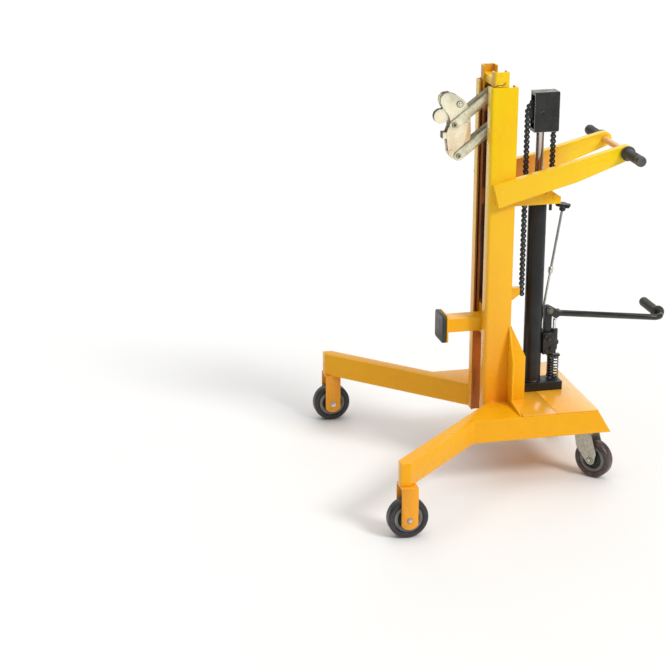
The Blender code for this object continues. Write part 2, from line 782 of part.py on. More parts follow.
def wrap_outline():
    outside = [(CHAIN_FRONT_X + CHAIN_H, WRAP_LOW)]
    inside = [(CHAIN_FRONT_X - CHAIN_H, WRAP_LOW)]
    links = 9
    for i in range(links * 3 + 1):
        a = math.pi * i / (links * 3)
        w = CHAIN_H - (0.0022 if i % 3 == 0 else 0.0)
        outside.append((RAM_X + (SPROCKET_R + w) * math.cos(a), SPROCKET_Z + (SPROCKET_R + w) * math.sin(a)))
        inside.append((RAM_X + (SPROCKET_R - w) * math.cos(a), SPROCKET_Z + (SPROCKET_R - w) * math.sin(a)))
    outside.append((CHAIN_REAR_X - CHAIN_H, WRAP_LOW))
    inside.append((CHAIN_REAR_X + CHAIN_H, WRAP_LOW))
    return outside + inside[::-1]


wrap_sides = [prism(wrap_outline(), "y", min(s * 0.0034, s * CHAIN_HALF_W), max(s * 0.0034, s * CHAIN_HALF_W))
              for s in (1, -1)]
wrap_pins = []
for i in range(9):
    a = math.pi * (i + 0.5) / 9
    px, pz = RAM_X + SPROCKET_R * math.cos(a), SPROCKET_Z + SPROCKET_R * math.sin(a)
    wrap_pins.append(bar((px, -0.0072, pz), (px, 0.0072, pz), 0.0017, 10))
node("chain_wrap", combine([*wrap_sides, *wrap_pins]), "chain_steel")

anchor = bar((CHAIN_REAR_X, 0, 0.842), (CHAIN_REAR_X, 0, ANCHOR_TOP), 0.005, 12)
anchor_nuts = [
    prism(hexagon(CHAIN_REAR_X, 0.0, 0.016), "z", BRACKET_Z - 0.009, BRACKET_Z - GAP),
    prism(hexagon(CHAIN_REAR_X, 0.0, 0.016), "z", BRACKET_Z + BRACKET_T + GAP, BRACKET_Z + BRACKET_T + 0.009),
]
node("chain_anchor", combine([anchor, *anchor_nuts]), "black_paint")

# Carriage: inner channels with slide blocks, ties, pad arm and chain lug
inner = channel(INNER_FRONT, INNER_DEPTH, INNER_HALF_W, INNER_WEB, INNER_FLANGE, INNER_Z, INNER_TOP, 0.006)
INNER_BACK = INNER_FRONT - INNER_DEPTH
blocks = [
    box(MAST_BACK + MAST_WEB + 0.0006, INNER_BACK + 0.001, INNER_HALF_W - 0.022, INNER_HALF_W - 0.004, z, z + 0.060)
    for z in (INNER_Z + 0.015, INNER_TOP - 0.424)
]
welded = combine([inner, *blocks])
STUD_X, STUD_Z = DATUM + 0.069, INNER_TOP - 0.037
BORE_Y0, BORE_Y1 = INNER_HALF_W - 0.0155, INNER_HALF_W + 0.0145
bores = [
    bar((LINK_UP[0], BORE_Y0, LINK_UP[1]), (LINK_UP[0], BORE_Y1, LINK_UP[1]), 0.0063, 16),
    bar((LINK_LOW[0], BORE_Y0, LINK_LOW[1]), (LINK_LOW[0], BORE_Y1, LINK_LOW[1]), 0.0063, 16),
    bar((STUD_X, BORE_Y0, STUD_Z), (STUD_X, BORE_Y1, STUD_Z), 0.0053, 16),
]
pair("inner_channel", combine([welded, *bores], "DIFFERENCE"), "yellow_paint")

TIE_X0 = INNER_BACK + INNER_WEB + GAP
TIE_X1 = INNER_FRONT - INNER_WEB - GAP
TIE_Y = INNER_HALF_W - INNER_WEB - GAP
TIE_LOW = INNER_TOP - 0.048
tie_section = [
    (TIE_X0, INNER_TOP - 0.024),
    (TIE_X0, TIE_LOW),
    (TIE_X0 + 0.005, TIE_LOW),
    (TIE_X0 + 0.005, INNER_TOP - 0.028),
    (TIE_X1 - 0.005, INNER_TOP - 0.028),
    (TIE_X1 - 0.005, TIE_LOW),
    (TIE_X1, TIE_LOW),
    (TIE_X1, INNER_TOP - 0.024),
]
tie = prism(tie_section, "y", -TIE_Y, TIE_Y)
lug_block = box(TIE_X0 + 0.004, TIE_X1 - 0.004, -TIE_Y + 0.0002, TIE_Y - 0.0002, STUD_Z - 0.008, STUD_Z + 0.010)
studs = [
    bar((STUD_X, s * BORE_Y0, STUD_Z), (STUD_X, s * PIN_REACH, STUD_Z), 0.005, 16)
    for s in (1, -1)
]
rings = [
    lathe([(0.0, 0.0), (0.008, 0.0), (0.008, 0.0015), (0.0, 0.0015)],
          (STUD_X, INNER_HALF_W + GAP if s > 0 else -INNER_HALF_W - GAP - 0.0015, STUD_Z), "y", 20)
    for s in (1, -1)
]
node("carriage_top_tie", combine([tie, lug_block, *studs, *rings]), "yellow_paint")

ARM_Z0, ARM_Z1 = 0.468, 0.512
ARM_HALF_Y = 0.030
PAD_X = DATUM + 0.2095
mount = box(TIE_X1 - 0.006, TIE_X1, -TIE_Y, TIE_Y, INNER_Z + 0.005, 0.540)
beam_outer = box(TIE_X1 - 0.001, PAD_X, -ARM_HALF_Y, ARM_HALF_Y, ARM_Z0, ARM_Z1)
beam_hollow = box(TIE_X1 + 0.002, PAD_X - 0.004, -ARM_HALF_Y + 0.004, ARM_HALF_Y - 0.004, ARM_Z0 - 0.01, ARM_Z1 - 0.004)
pad_arm = combine([beam_outer, beam_hollow], "DIFFERENCE")
PAD_Z0, PAD_Z1 = 0.437, 0.527
pad_pts = rounded_rect(0.0, (PAD_Z0 + PAD_Z1) / 2, 0.090, PAD_Z1 - PAD_Z0, 0.010)
back_plate = prism(pad_pts, "x", PAD_X - 0.006, PAD_X - 0.0002)
node("support_arm", combine([mount, pad_arm, back_plate]), "yellow_paint")
node("support_pad", prism(pad_pts, "x", PAD_X + GAP, PAD_X + 0.014), "dark_rubber")

LUG_TIP = CHAIN_FRONT_X + CHAIN_H + GAP
cross = box(TIE_X0, TIE_X0 + 0.006, -TIE_Y, TIE_Y, 0.545, 0.605)
web = prism(
    [
        (TIE_X0 + 0.003, 0.554),
        (TIE_X0 + 0.003, 0.597),
        (LUG_TIP, 0.594),
        (LUG_TIP, 0.571),
        (DATUM - 0.019, 0.554),
    ],
    "y",
    -0.008,
    0.008,
)
node("chain_lug", combine([cross, web]), "yellow_paint")

# Grab linkage: two parallel links carry the head, and a jaw closes against its lip
LINK_L = math.hypot(LINK_DX, LINK_DZ)
LINK_TURN = -math.atan2(LINK_DZ, LINK_DX)
PIN_R = 0.006


def stadium(length, r, n=8):
    return arc(0.0, 0.0, r, 90, 270, n) + arc(length, 0.0, r, -90, 90, n)


def link(pin_reach):
    """A link about its mast pivot, lying along +X: two side plates, a web and its cross pin."""
    hole = [circle(LINK_L, 0.0, PIN_R + GAP, 16)]
    plates = []
    for s in (1, -1):
        lo, hi = sorted((s * LINK_Y, s * (LINK_Y - LINK_T)))
        plates.append(prism(stadium(LINK_L, LINK_W / 2), "y", lo, hi, hole))
    floor = box(0.022, 0.066, -LINK_Y + 0.001, LINK_Y - 0.001, -LINK_W / 2 + 0.0005, -LINK_W / 2 + 0.0045)
    pin = bar((0, -pin_reach, 0), (0, pin_reach, 0), PIN_R, 16)
    return combine([*plates, floor, pin])


node("upper_link", link(PIN_REACH), "zinc_plate", (LINK_UP[0], 0, LINK_UP[1]), LINK_TURN)
node("lower_link", link(PIN_REACH), "zinc_plate", (LINK_LOW[0], 0, LINK_LOW[1]), LINK_TURN)

HEAD_UP = (LINK_UP[0] + LINK_DX, LINK_UP[1] + LINK_DZ)
HEAD_LOW = (LINK_LOW[0] + LINK_DX, LINK_LOW[1] + LINK_DZ)
# Side plate outline, measured from the upper mast pivot
head_pts = [
    (0.168, -0.023),
    (0.166, -0.008),
    (0.156, 0.003),
    (0.139, 0.006),
    (0.114, -0.004),
    (0.091, -0.020),
    (0.077, -0.043),
    (0.071, -0.076),
    (0.068, -0.116),
    (0.070, -0.151),
    (0.085, -0.191),
    (0.099, -0.204),
    (0.115, -0.207),
    (0.129, -0.199),
    (0.139, -0.184),
    (0.144, -0.148),
    (0.146, -0.119),
    (0.138, -0.099),
    (0.133, -0.086),
    (0.138, -0.070),
    (0.147, -0.055),
    (0.160, -0.040),
]
head_pts = [(LINK_UP[0] + x, LINK_UP[1] + z) for x, z in head_pts]
parts = []
for s in (1, -1):
    lo, hi = sorted((s * HEAD_Y, s * (HEAD_Y - HEAD_T)))
    parts.append(prism(head_pts, "y", lo, hi))
for (cx, cz), r, reach in (
    (HEAD_UP, PIN_R, LINK_Y + 0.004),
    (HEAD_LOW, PIN_R, LINK_Y + 0.004),
    ((JAW_X, JAW_Z), 0.007, HEAD_Y + 0.0045),
    ((LINK_UP[0] + 0.082, LINK_UP[1] - 0.0933), 0.0064, HEAD_Y + 0.0003),
    ((LINK_UP[0] + 0.132, LINK_UP[1] - 0.178), 0.005, HEAD_Y + 0.0025),
):
    parts.append(bar((cx, -reach, cz), (cx, reach, cz), r, 20))
parts.append(box(LINK_UP[0] + 0.1405, LINK_UP[0] + 0.158, -HEAD_Y + 0.001, HEAD_Y - 0.001, LINK_UP[1] - 0.138,
                 LINK_UP[1] - 0.118))
# Top web that closes the head over the jaw
web_line = [(0.154, 0.0027), (0.139, 0.0055), (0.1142, -0.0045), (0.0915, -0.0204)]
WEB_T = 0.003
web_pts = [(LINK_UP[0] + x, LINK_UP[1] + z) for x, z in web_line]
web_pts += [(x + 0.2 * WEB_T, z - WEB_T) for x, z in reversed(web_pts)]
parts.append(prism(web_pts, "y", -HEAD_Y + 0.001, HEAD_Y - 0.001))
node("gripper_head", combine(parts), "zinc_plate", (HEAD_UP[0], 0, HEAD_UP[1]))

NOSE_X, NOSE_Z, NOSE_R = JAW_X + 0.0574, JAW_Z - 0.0369, 0.0225
nose_angle = math.degrees(math.atan2(NOSE_Z - JAW_Z, NOSE_X - JAW_X))
jaw_pts = arc(JAW_X, JAW_Z, 0.0125, nose_angle + 90, nose_angle + 270, 8)
jaw_pts += arc(NOSE_X, NOSE_Z, NOSE_R, nose_angle - 125, nose_angle + 125, 18)
node(
    "grip_jaw",
    prism(jaw_pts, "y", -0.009, 0.009, [circle(JAW_X, JAW_Z, 0.0073, 16)]),
    "zinc_plate",
    (JAW_X, 0, JAW_Z),
)

# Foot pump: barrel, bored valve block, pivot post, lever, piston and its two return springs
VALVE_Z0, VALVE_Z1 = 0.365, 0.437
VALVE_X1 = RAM_X - TUBE_R - GAP
VALVE_X0 = DATUM - 0.177
PUSH_X = LEVER_X - PUSH_ARM
CAM_Z = 0.498
CAM_R = 0.0125
PUSH_Z = CAM_Z - CAM_R - GAP
BARREL_Y = -0.0235
node(
    "pump_barrel",
    bar((PUSH_X, BARREL_Y, BASE_BLOCK_TOP + GAP), (PUSH_X, BARREL_Y, VALVE_Z0 - GAP), 0.0115, 20),
    "black_paint",
    smooth=35,
)
RELEASE_Y = -0.0285
PISTON_R = 0.0055
body_block = box(VALVE_X0 + 0.010, VALVE_X1, -0.035, 0.020, VALVE_Z0, VALVE_Z1)
gland = bar((PUSH_X, 0, VALVE_Z0 + 0.010), (PUSH_X, 0, VALVE_Z1 + 0.008), 0.0118, 20)
plug = bar((DATUM - 0.142, 0.018, 0.418), (DATUM - 0.142, 0.026, 0.418), 0.008, 6)
port = bar((DATUM - 0.150, 0.018, 0.385), (DATUM - 0.150, 0.025, 0.385), 0.007, 16)
rear_plug = bar((DATUM - 0.160, -0.014, 0.405), (VALVE_X0, -0.014, 0.405), 0.009, 6)
block = combine([body_block, gland, plug, port, rear_plug])
bore = bar((PUSH_X, 0, VALVE_Z0 - 0.01), (PUSH_X, 0, VALVE_Z1 + 0.02), PISTON_R + GAP, 20)
node("valve_block", combine([block, bore], "DIFFERENCE"), "black_paint")

POST_Y = 0.010
post_pts = [(DATUM - 0.1285, VALVE_Z1 + GAP), (DATUM - 0.1285, LEVER_Z + 0.002)]
post_pts += arc(LEVER_X, LEVER_Z, 0.0125, 20, 180, 8)
post_pts += [(LEVER_X - 0.0095, LEVER_Z - 0.012), (LEVER_X - 0.0095, VALVE_Z1 + 0.012)]
post_pts += [(LEVER_X - 0.006, VALVE_Z1 + GAP)]
post = prism(post_pts, "y", -POST_Y, POST_Y)
lever_pin = bar((LEVER_X, -0.0215, LEVER_Z), (LEVER_X, 0.0215, LEVER_Z), 0.0045, 16)
node("lever_bracket", combine([post, lever_pin]), "black_paint")

# The lever is a fork of two cam plates astride the post, closed behind by a boss that holds the rod
CHEEK_IN, CHEEK_OUT = POST_Y + 0.0006, POST_Y + 0.0056
cam_out = math.degrees(math.atan2(CAM_Z - LEVER_Z, PUSH_X - LEVER_X))
cam_pts = arc(LEVER_X, LEVER_Z, 0.0115, cam_out - 270, cam_out - 90, 8)
cam_pts += arc(PUSH_X, CAM_Z, CAM_R, cam_out - 90, cam_out + 90, 8)
lever_parts = []
for s in (1, -1):
    lo, hi = sorted((s * CHEEK_IN, s * CHEEK_OUT))
    lever_parts.append(prism(cam_pts, "y", lo, hi, [circle(LEVER_X, LEVER_Z, 0.0048, 16)]))
BOSS_X = PUSH_X - 0.0145
boss_pts = circle(BOSS_X, CAM_Z + 0.001, 0.0085, 18, 0.1)
lever_parts.append(prism(boss_pts, "y", -CHEEK_OUT + 0.0005, CHEEK_OUT - 0.0005))
BEND_R = 0.030
PEDAL_Y = -0.047
SLEEVE_L = 0.127
root = Vector((BOSS_X - 0.0035, 0.0, CAM_Z - 0.0015))
bend_z = PEDAL_Z + 0.002
path = [root, Vector((PEDAL_X + BEND_R, 0.0, bend_z))]
for i in range(1, 7):
    a = math.radians(90 * i / 6)
    path.append(
        Vector((PEDAL_X + BEND_R - BEND_R * math.sin(a), -BEND_R * (1 - math.cos(a)), bend_z - 0.002 * i / 6))
    )
path.append(Vector((PEDAL_X, PEDAL_Y - SLEEVE_L + 0.004, PEDAL_Z)))
lever_parts.append(sweep(path, LEVER_R, 14))
node("foot_lever", combine(lever_parts), "black_paint", (LEVER_X, 0, LEVER_Z), smooth=40)
pedal_sleeve = [
    (LEVER_R + GAP, 0.0),
    (PEDAL_FLANGE_R, 0.0),
    (PEDAL_FLANGE_R, -0.005),
    (0.0175, -0.008),
    (0.0160, -0.030),
    (0.0160, -SLEEVE_L + 0.004),
    (0.0145, -SLEEVE_L),
    (0.0, -SLEEVE_L),
    (0.0, -SLEEVE_L + 0.0035),
    (LEVER_R + GAP, -SLEEVE_L + 0.0035),
]
node("pedal_grip", lathe(pedal_sleeve, (PEDAL_X, PEDAL_Y, PEDAL_Z), "y", 24, True), "dark_rubber", smooth=40)

SPRING_TOP = 0.352
SPRING_DX = 0.0108
SPRING_R = 0.0090
stem = bar((PUSH_X, 0, SPRING_TOP + 0.002), (PUSH_X, 0, PUSH_Z - 0.007), PISTON_R, 20)
head_bar = box(PUSH_X - 0.004, PUSH_X + 0.004, -CHEEK_OUT, CHEEK_OUT, PUSH_Z - 0.008, PUSH_Z)
yoke = box(PUSH_X - SPRING_DX - 0.010, PUSH_X + SPRING_DX + 0.010, -0.0085, 0.0085, SPRING_TOP, SPRING_TOP + 0.006)
node("pump_piston", combine([stem, head_bar, yoke]), "chrome", (PUSH_X, 0, 0.40))
spring_low = BASE_BLOCK_TOP + GAP
COILS = 9
WIRE = 0.0018
SPRING_MID_R = SPRING_R - WIRE
for name, x in (("front_return_spring", PUSH_X + SPRING_DX), ("rear_return_spring", PUSH_X - SPRING_DX)):
    coil = []
    for i in range(COILS * 10 + 1):
        a = 2 * math.pi * i / 10
        lift = (SPRING_TOP - GAP - 2 * WIRE - spring_low) * i / (COILS * 10)
        coil.append((x + SPRING_MID_R * math.cos(a), SPRING_MID_R * math.sin(a), spring_low + WIRE + lift))
    node(name, sweep(coil, WIRE, 5), "spring_steel", (x, 0, spring_low))

ROD_FOOT = Vector((DATUM - 0.1245, RELEASE_Y, VALVE_Z1 + 0.0009))
ROD_HEAD = Vector((DATUM - 0.1875, RELEASE_Y, 0.843))
rod_dir = (ROD_HEAD - ROD_FOOT).normalized()
rod_len = (ROD_HEAD - ROD_FOOT).length
tilt = math.atan2(rod_dir.x, rod_dir.z)
shaft = lathe(
    [
        (0.0, 0.0),
        (0.0045, 0.0),
        (0.0045, 0.060),
        (0.0060, 0.062),
        (0.0060, 0.072),
        (0.0042, 0.074),
        (0.0042, 0.190),
        (0.0055, 0.192),
        (0.0055, 0.208),
        (0.0042, 0.210),
        (0.0042, rod_len - 0.014),
        (0.0110, rod_len - 0.012),
        (0.0110, rod_len + 0.002),
        (0.0, rod_len + 0.002),
    ],
    (0, 0, 0),
    "z",
    16,
)
star = []
for i in range(30):
    a = 2 * math.pi * i / 30
    star.append(((0.0225 + 0.0030 * math.cos(6 * a)) * math.cos(a), (0.0225 + 0.0030 * math.cos(6 * a)) * math.sin(a)))
knob = prism(star, "z", rod_len, rod_len + 0.011)
node("release_rod", combine([shaft, knob]), "black_paint", tuple(ROD_FOOT), tilt, smooth=40)
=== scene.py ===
# Looks of the mobile drum lifter: refined pieces, paint, metal and rubber, studio floor and camera.
# Metres, +Z up, +X forward (drum side), +Y the operator's left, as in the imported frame.
import json
import math

import bmesh
import bpy
from mathutils import Matrix, Vector

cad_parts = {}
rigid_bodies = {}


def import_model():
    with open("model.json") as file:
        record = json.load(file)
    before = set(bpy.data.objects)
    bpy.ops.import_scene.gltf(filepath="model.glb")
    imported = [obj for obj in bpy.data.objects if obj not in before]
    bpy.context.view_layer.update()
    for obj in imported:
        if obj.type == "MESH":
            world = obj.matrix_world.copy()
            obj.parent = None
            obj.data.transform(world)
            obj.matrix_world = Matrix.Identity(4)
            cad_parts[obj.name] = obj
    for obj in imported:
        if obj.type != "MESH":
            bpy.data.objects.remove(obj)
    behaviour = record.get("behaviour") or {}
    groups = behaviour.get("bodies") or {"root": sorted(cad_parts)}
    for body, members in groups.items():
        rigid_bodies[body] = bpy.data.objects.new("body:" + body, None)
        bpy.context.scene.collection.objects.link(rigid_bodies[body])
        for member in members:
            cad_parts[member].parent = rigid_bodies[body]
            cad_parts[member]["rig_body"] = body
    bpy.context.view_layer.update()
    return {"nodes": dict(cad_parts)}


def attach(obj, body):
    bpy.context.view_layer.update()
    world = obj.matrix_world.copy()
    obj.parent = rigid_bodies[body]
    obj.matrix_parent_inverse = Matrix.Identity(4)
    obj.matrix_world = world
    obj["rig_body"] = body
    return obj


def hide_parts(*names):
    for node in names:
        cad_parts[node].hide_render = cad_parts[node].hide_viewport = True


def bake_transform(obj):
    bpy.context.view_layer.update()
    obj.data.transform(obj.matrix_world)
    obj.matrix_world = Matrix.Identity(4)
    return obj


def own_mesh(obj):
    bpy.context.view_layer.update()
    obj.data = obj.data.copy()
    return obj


for old in list(bpy.data.objects):
    bpy.data.objects.remove(old, do_unlink=True)

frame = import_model()
NODES = frame["nodes"]

# Sizes shared with the frame
DATUM = 0.022
WHEEL_R = 0.0625
AXLE_Z = WHEEL_R
FRONT_X = DATUM + 0.457
FRONT_Y = 0.4975
FORK_Y1 = 0.530
CASTER_X = DATUM - 0.2265
CASTER_Y = 0.160
CASTER_TRAIL = 0.035
CASTER_TURN = math.radians(50)
MAST_HALF_W = 0.085
MAST_FRONT = DATUM + 0.0955
MAST_BACK = MAST_FRONT - 0.0845
INNER_FRONT = DATUM + 0.084
INNER_HALF_W = 0.0755
BASE_TOP = 0.241
DECK_TOP = 0.2453
RAM_X = DATUM - 0.0925
SPROCKET_Z = 1.158
PITCH_R = 0.0432
CHAIN_FRONT_X = RAM_X + PITCH_R
CHAIN_REAR_X = RAM_X - PITCH_R
CHAIN_LOW = 0.565
WRAP_LOW = 1.135
ANCHOR_TOP = 0.9303
BAR_X, BAR_Z = DATUM - 0.341, 1.041
GRIP_Y = 0.1143
LEVER_X, LEVER_Z = DATUM - 0.143, 0.512
PUSH_X = LEVER_X - 0.022
PEDAL_X, PEDAL_Z = DATUM - 0.540, 0.456
TUBE_R = 0.029

AXES = {"x": (1, 2, 0), "y": (0, 2, 1), "z": (0, 1, 2)}


def place(u, v, w, axis):
    i, j, k = AXES[axis]
    p = [0.0, 0.0, 0.0]
    p[i], p[j], p[k] = u, v, w
    return Vector(p)


# Materials


class Look:
    """A node material on object coordinates, so that its grain stays with the piece."""

    def __init__(self, name, roughness, metallic=0.0, **sockets):
        self.mat = bpy.data.materials.new(name)
        self.mat.use_nodes = True
        self.tree = self.mat.node_tree
        self.shader = self.tree.nodes["Principled BSDF"]
        self.shader.inputs["Metallic"].default_value = metallic
        self.shader.inputs["Roughness"].default_value = roughness
        for key, value in sockets.items():
            self.shader.inputs[key.replace("_", " ")].default_value = value
        self.coord = self.tree.nodes.new("ShaderNodeTexCoord").outputs["Object"]
        self.normal = None

    def link(self, a, b):
        self.tree.links.new(a, b)

    def noise(self, scale, detail=4.0, rough=0.55, stretch=None):
        source = self.coord
        if stretch:
            move = self.tree.nodes.new("ShaderNodeMapping")
            move.inputs["Scale"].default_value = stretch
            self.link(source, move.inputs["Vector"])
            source = move.outputs["Vector"]
        n = self.tree.nodes.new("ShaderNodeTexNoise")
        n.inputs["Scale"].default_value = scale
        n.inputs["Detail"].default_value = detail
        n.inputs["Roughness"].default_value = rough
        self.link(source, n.inputs["Vector"])
        return n.outputs["Fac"]

    def height(self, low, high, axis="Z"):
        """0 at the low place along an axis of the piece, 1 at the high one."""
        parts = self.tree.nodes.new("ShaderNodeSeparateXYZ")
        self.link(self.coord, parts.inputs[0])
        return self.span(parts.outputs[axis], low, high)

    def span(self, value, a, b, lo=0.0, hi=1.0):
        m = self.tree.nodes.new("ShaderNodeMapRange")
        m.inputs["From Min"].default_value = a
        m.inputs["From Max"].default_value = b
        m.inputs["To Min"].default_value = lo
        m.inputs["To Max"].default_value = hi
        self.link(value, m.inputs["Value"])
        return m.outputs["Result"]

    def math(self, op, a, b):
        m = self.tree.nodes.new("ShaderNodeMath")
        m.operation = op
        for i, v in enumerate((a, b)):
            if isinstance(v, (int, float)):
                m.inputs[i].default_value = v
            else:
                self.link(v, m.inputs[i])
        return m.outputs[0]

    def mix(self, factor, a, b):
        m = self.tree.nodes.new("ShaderNodeMix")
        m.data_type = "RGBA"
        self.link(factor, m.inputs["Factor"])
        for key, v in (("A", a), ("B", b)):
            socket = [s for s in m.inputs if s.name == key and s.type == "RGBA"][0]
            if isinstance(v, tuple):
                socket.default_value = (*v, 1.0)
            else:
                self.link(v, socket)
        return [s for s in m.outputs if s.type == "RGBA"][0]

    def edge(self, radius, low=0.02, high=0.22):
        """1 on outer and inner edges, 0 on flats."""
        bevel = self.tree.nodes.new("ShaderNodeBevel")
        bevel.samples = 4
        bevel.inputs["Radius"].default_value = radius
        flat = self.tree.nodes.new("ShaderNodeNewGeometry")
        dot = self.tree.nodes.new("ShaderNodeVectorMath")
        dot.operation = "DOT_PRODUCT"
        self.link(bevel.outputs[0], dot.inputs[0])
        self.link(flat.outputs["Normal"], dot.inputs[1])
        return self.span(dot.outputs["Value"], 1.0 - low, 1.0 - high)

    def bump(self, height, strength, distance):
        b = self.tree.nodes.new("ShaderNodeBump")
        b.inputs["Strength"].default_value = strength
        b.inputs["Distance"].default_value = distance
        self.link(height, b.inputs["Height"])
        if self.normal is not None:
            self.link(self.normal, b.inputs["Normal"])
        self.normal = b.outputs["Normal"]

    def done(self, colour=None, rough=None):
        if colour is not None:
            self.link(colour, self.shader.inputs["Base Color"])
        if rough is not None:
            self.link(rough, self.shader.inputs["Roughness"])
        if self.normal is not None:
            self.link(self.normal, self.shader.inputs["Normal"])
        return self.mat


def paint_yellow(name, low, high, patch, reach=(0.15, 1.2, "Z"), gloss=0.15, shine=0.3):
    """Enamel that runs from one yellow to another along an axis; the run is painted light and shade, more orange where
    the piece lies in shade and paler where it catches a sheen.
    """
    k = Look(name, 0.3, Coat_Weight=gloss, Coat_Roughness=0.1, Specular_IOR_Level=shine)
    # Painted light and shade: the colour runs from low to high along the axis.
    base = k.mix(k.height(*reach), low, high)
    cloud = k.span(k.noise(5.0, 3.0), 0.35, 0.7)
    base = k.mix(k.math("MULTIPLY", cloud, 0.3), base, patch)
    brush = k.span(k.noise(26.0, 4.0, 0.6, (1.0, 1.0, 0.12)), 0.52, 0.72)
    base = k.mix(k.math("MULTIPLY", brush, 0.22), base, patch)
    grime = k.span(k.noise(38.0, 6.0, 0.65), 0.60, 0.78)
    base = k.mix(k.math("MULTIPLY", grime, 0.12), base, (0.42, 0.19, 0.03))
    # Lighter edges: partly worn paint, partly a painted edge highlight.
    lighter_edge = k.math("MULTIPLY", k.edge(0.0018), k.span(k.noise(55.0, 5.0, 0.7), 0.44, 0.62))
    base = k.mix(k.math("MULTIPLY", lighter_edge, 0.55), base, (0.96, 0.74, 0.34))
    chips = k.math("MULTIPLY", k.edge(0.0012, 0.05, 0.3), k.span(k.noise(140.0, 3.0, 0.6), 0.61, 0.67))
    base = k.mix(k.math("MULTIPLY", chips, 0.7), base, (0.20, 0.11, 0.05))
    rough = k.span(k.noise(17.0, 5.0), 0.3, 0.75, 0.20, 0.38)
    k.bump(k.noise(420.0, 2.0, 0.4), 0.05, 0.0008)
    k.bump(k.noise(9.0, 2.0, 0.4), 0.10, 0.004)
    return k.done(base, rough)


def paint_recess_shade(name, bands=()):
    """Yellow paint turned brown as painted shade inside the mast, more orange low down and yellow again near the top,
    darker over the bands of heights given as painted shadow.
    """
    k = Look(name, 0.45, Specular_IOR_Level=0.35)
    streak = k.span(k.noise(30.0, 5.0, 0.6, (1.0, 1.0, 0.08)), 0.35, 0.68)
    base = k.mix(streak, (0.30, 0.095, 0.026), (0.52, 0.185, 0.038))
    base = k.mix(k.height(0.60, 0.35), base, (0.62, 0.19, 0.030))
    base = k.mix(k.height(1.16, 1.22), base, (0.80, 0.40, 0.030))
    dark_patch = k.span(k.noise(9.0, 5.0, 0.7, (1.0, 1.0, 0.3)), 0.50, 0.68)
    base = k.mix(k.math("MULTIPLY", dark_patch, 0.5), base, (0.10, 0.040, 0.022))
    # Painted shadow: dark bands over the given heights.
    for low, high in bands:
        band = k.math("MULTIPLY", k.height(low, low + 0.006), k.height(high, high - 0.006))
        base = k.mix(k.math("MULTIPLY", band, 0.88), base, (0.060, 0.026, 0.018))
    rough = k.span(k.noise(40.0, 4.0), 0.3, 0.7, 0.25, 0.55)
    k.bump(k.noise(120.0, 4.0, 0.6), 0.12, 0.001)
    return k.done(base, rough)


def paint_housing():
    """Glossy greenish black with lighter patches, partly scuffs and partly painted reflection, and pale edges that are
    a painted highlight with some rubbing.
    """
    k = Look("enamel_housing", 0.25, Coat_Weight=0.1, Coat_Roughness=0.08, Specular_IOR_Level=0.42)
    base = k.mix(k.span(k.noise(30.0, 5.0, 0.65), 0.40, 0.66), (0.0035, 0.0052, 0.0038), (0.014, 0.018, 0.0145))
    # Lighter patches: partly scuffs, partly painted reflection.
    scuff_and_reflection = k.math("MULTIPLY", k.span(k.noise(62.0, 6.0, 0.7), 0.56, 0.66), k.span(k.noise(14.0, 3.0), 0.42, 0.60))
    base = k.mix(k.math("MULTIPLY", scuff_and_reflection, 0.5), base, (0.085, 0.095, 0.085))
    # Pale edges: painted highlight along the edges, with some rubbing.
    edge_tint = k.math("MULTIPLY", k.edge(0.0028, 0.01, 0.14), k.span(k.noise(80.0, 5.0, 0.7), 0.18, 0.42))
    base = k.mix(k.math("MULTIPLY", edge_tint, 0.95), base, (0.52, 0.53, 0.51))
    rough = k.span(k.noise(34.0, 5.0), 0.3, 0.72, 0.16, 0.42)
    k.bump(k.noise(300.0, 3.0, 0.5), 0.06, 0.001)
    return k.done(base, rough)


def plated_chrome():
    """Hard chrome rod with brown streaks that run along it: painted reflection of the yellow paint round it."""
    k = Look("hard_chrome", 0.1, 1.0)
    base = k.mix(k.span(k.noise(12.0, 4.0), 0.3, 0.7), (0.60, 0.60, 0.60), (0.80, 0.80, 0.79))
    # Painted reflection: brown streaks running along the rod.
    reflection_streak = k.span(k.noise(62.0, 3.0, 0.5, (1.0, 1.0, 0.015)), 0.47, 0.55)
    base = k.mix(k.math("MULTIPLY", reflection_streak, 0.85), base, (0.13, 0.062, 0.040))
    rough = k.span(k.noise(300.0, 3.0, 0.5, (0.2, 0.2, 3.0)), 0.3, 0.7, 0.06, 0.16)
    k.bump(k.noise(900.0, 3.0, 0.5, (0.15, 0.15, 3.0)), 0.02, 0.0006)
    return k.done(base, rough)


def plated_zinc(name, dull, bright, stain_top):
    """Cream zinc plating, stained pink-brown below a height, its edges darkened as painted shade."""
    k = Look(name, 0.3, 0.65)
    base = k.mix(k.span(k.noise(30.0, 5.0, 0.65), 0.36, 0.64), dull, bright)
    stain = k.math("MULTIPLY", k.height(stain_top, stain_top - 0.03), k.span(k.noise(40.0, 5.0, 0.6), 0.36, 0.60))
    base = k.mix(k.math("MULTIPLY", stain, 0.55), base, (0.95, 0.68, 0.44))
    spots = k.span(k.noise(130.0, 5.0, 0.7), 0.62, 0.68)
    base = k.mix(k.math("MULTIPLY", spots, 0.6), base, (0.30, 0.22, 0.12))
    # Dark edges: painted shade along the edges, with some rubbing.
    edge_tint = k.math("MULTIPLY", k.edge(0.0016), k.span(k.noise(90.0, 4.0, 0.7), 0.26, 0.46))
    base = k.mix(k.math("MULTIPLY", edge_tint, 0.9), base, (0.10, 0.082, 0.05))
    rough = k.span(k.noise(200.0, 4.0, 0.6), 0.3, 0.72, 0.26, 0.42)
    k.bump(k.noise(500.0, 3.0, 0.5), 0.04, 0.0005)
    return k.done(base, rough)


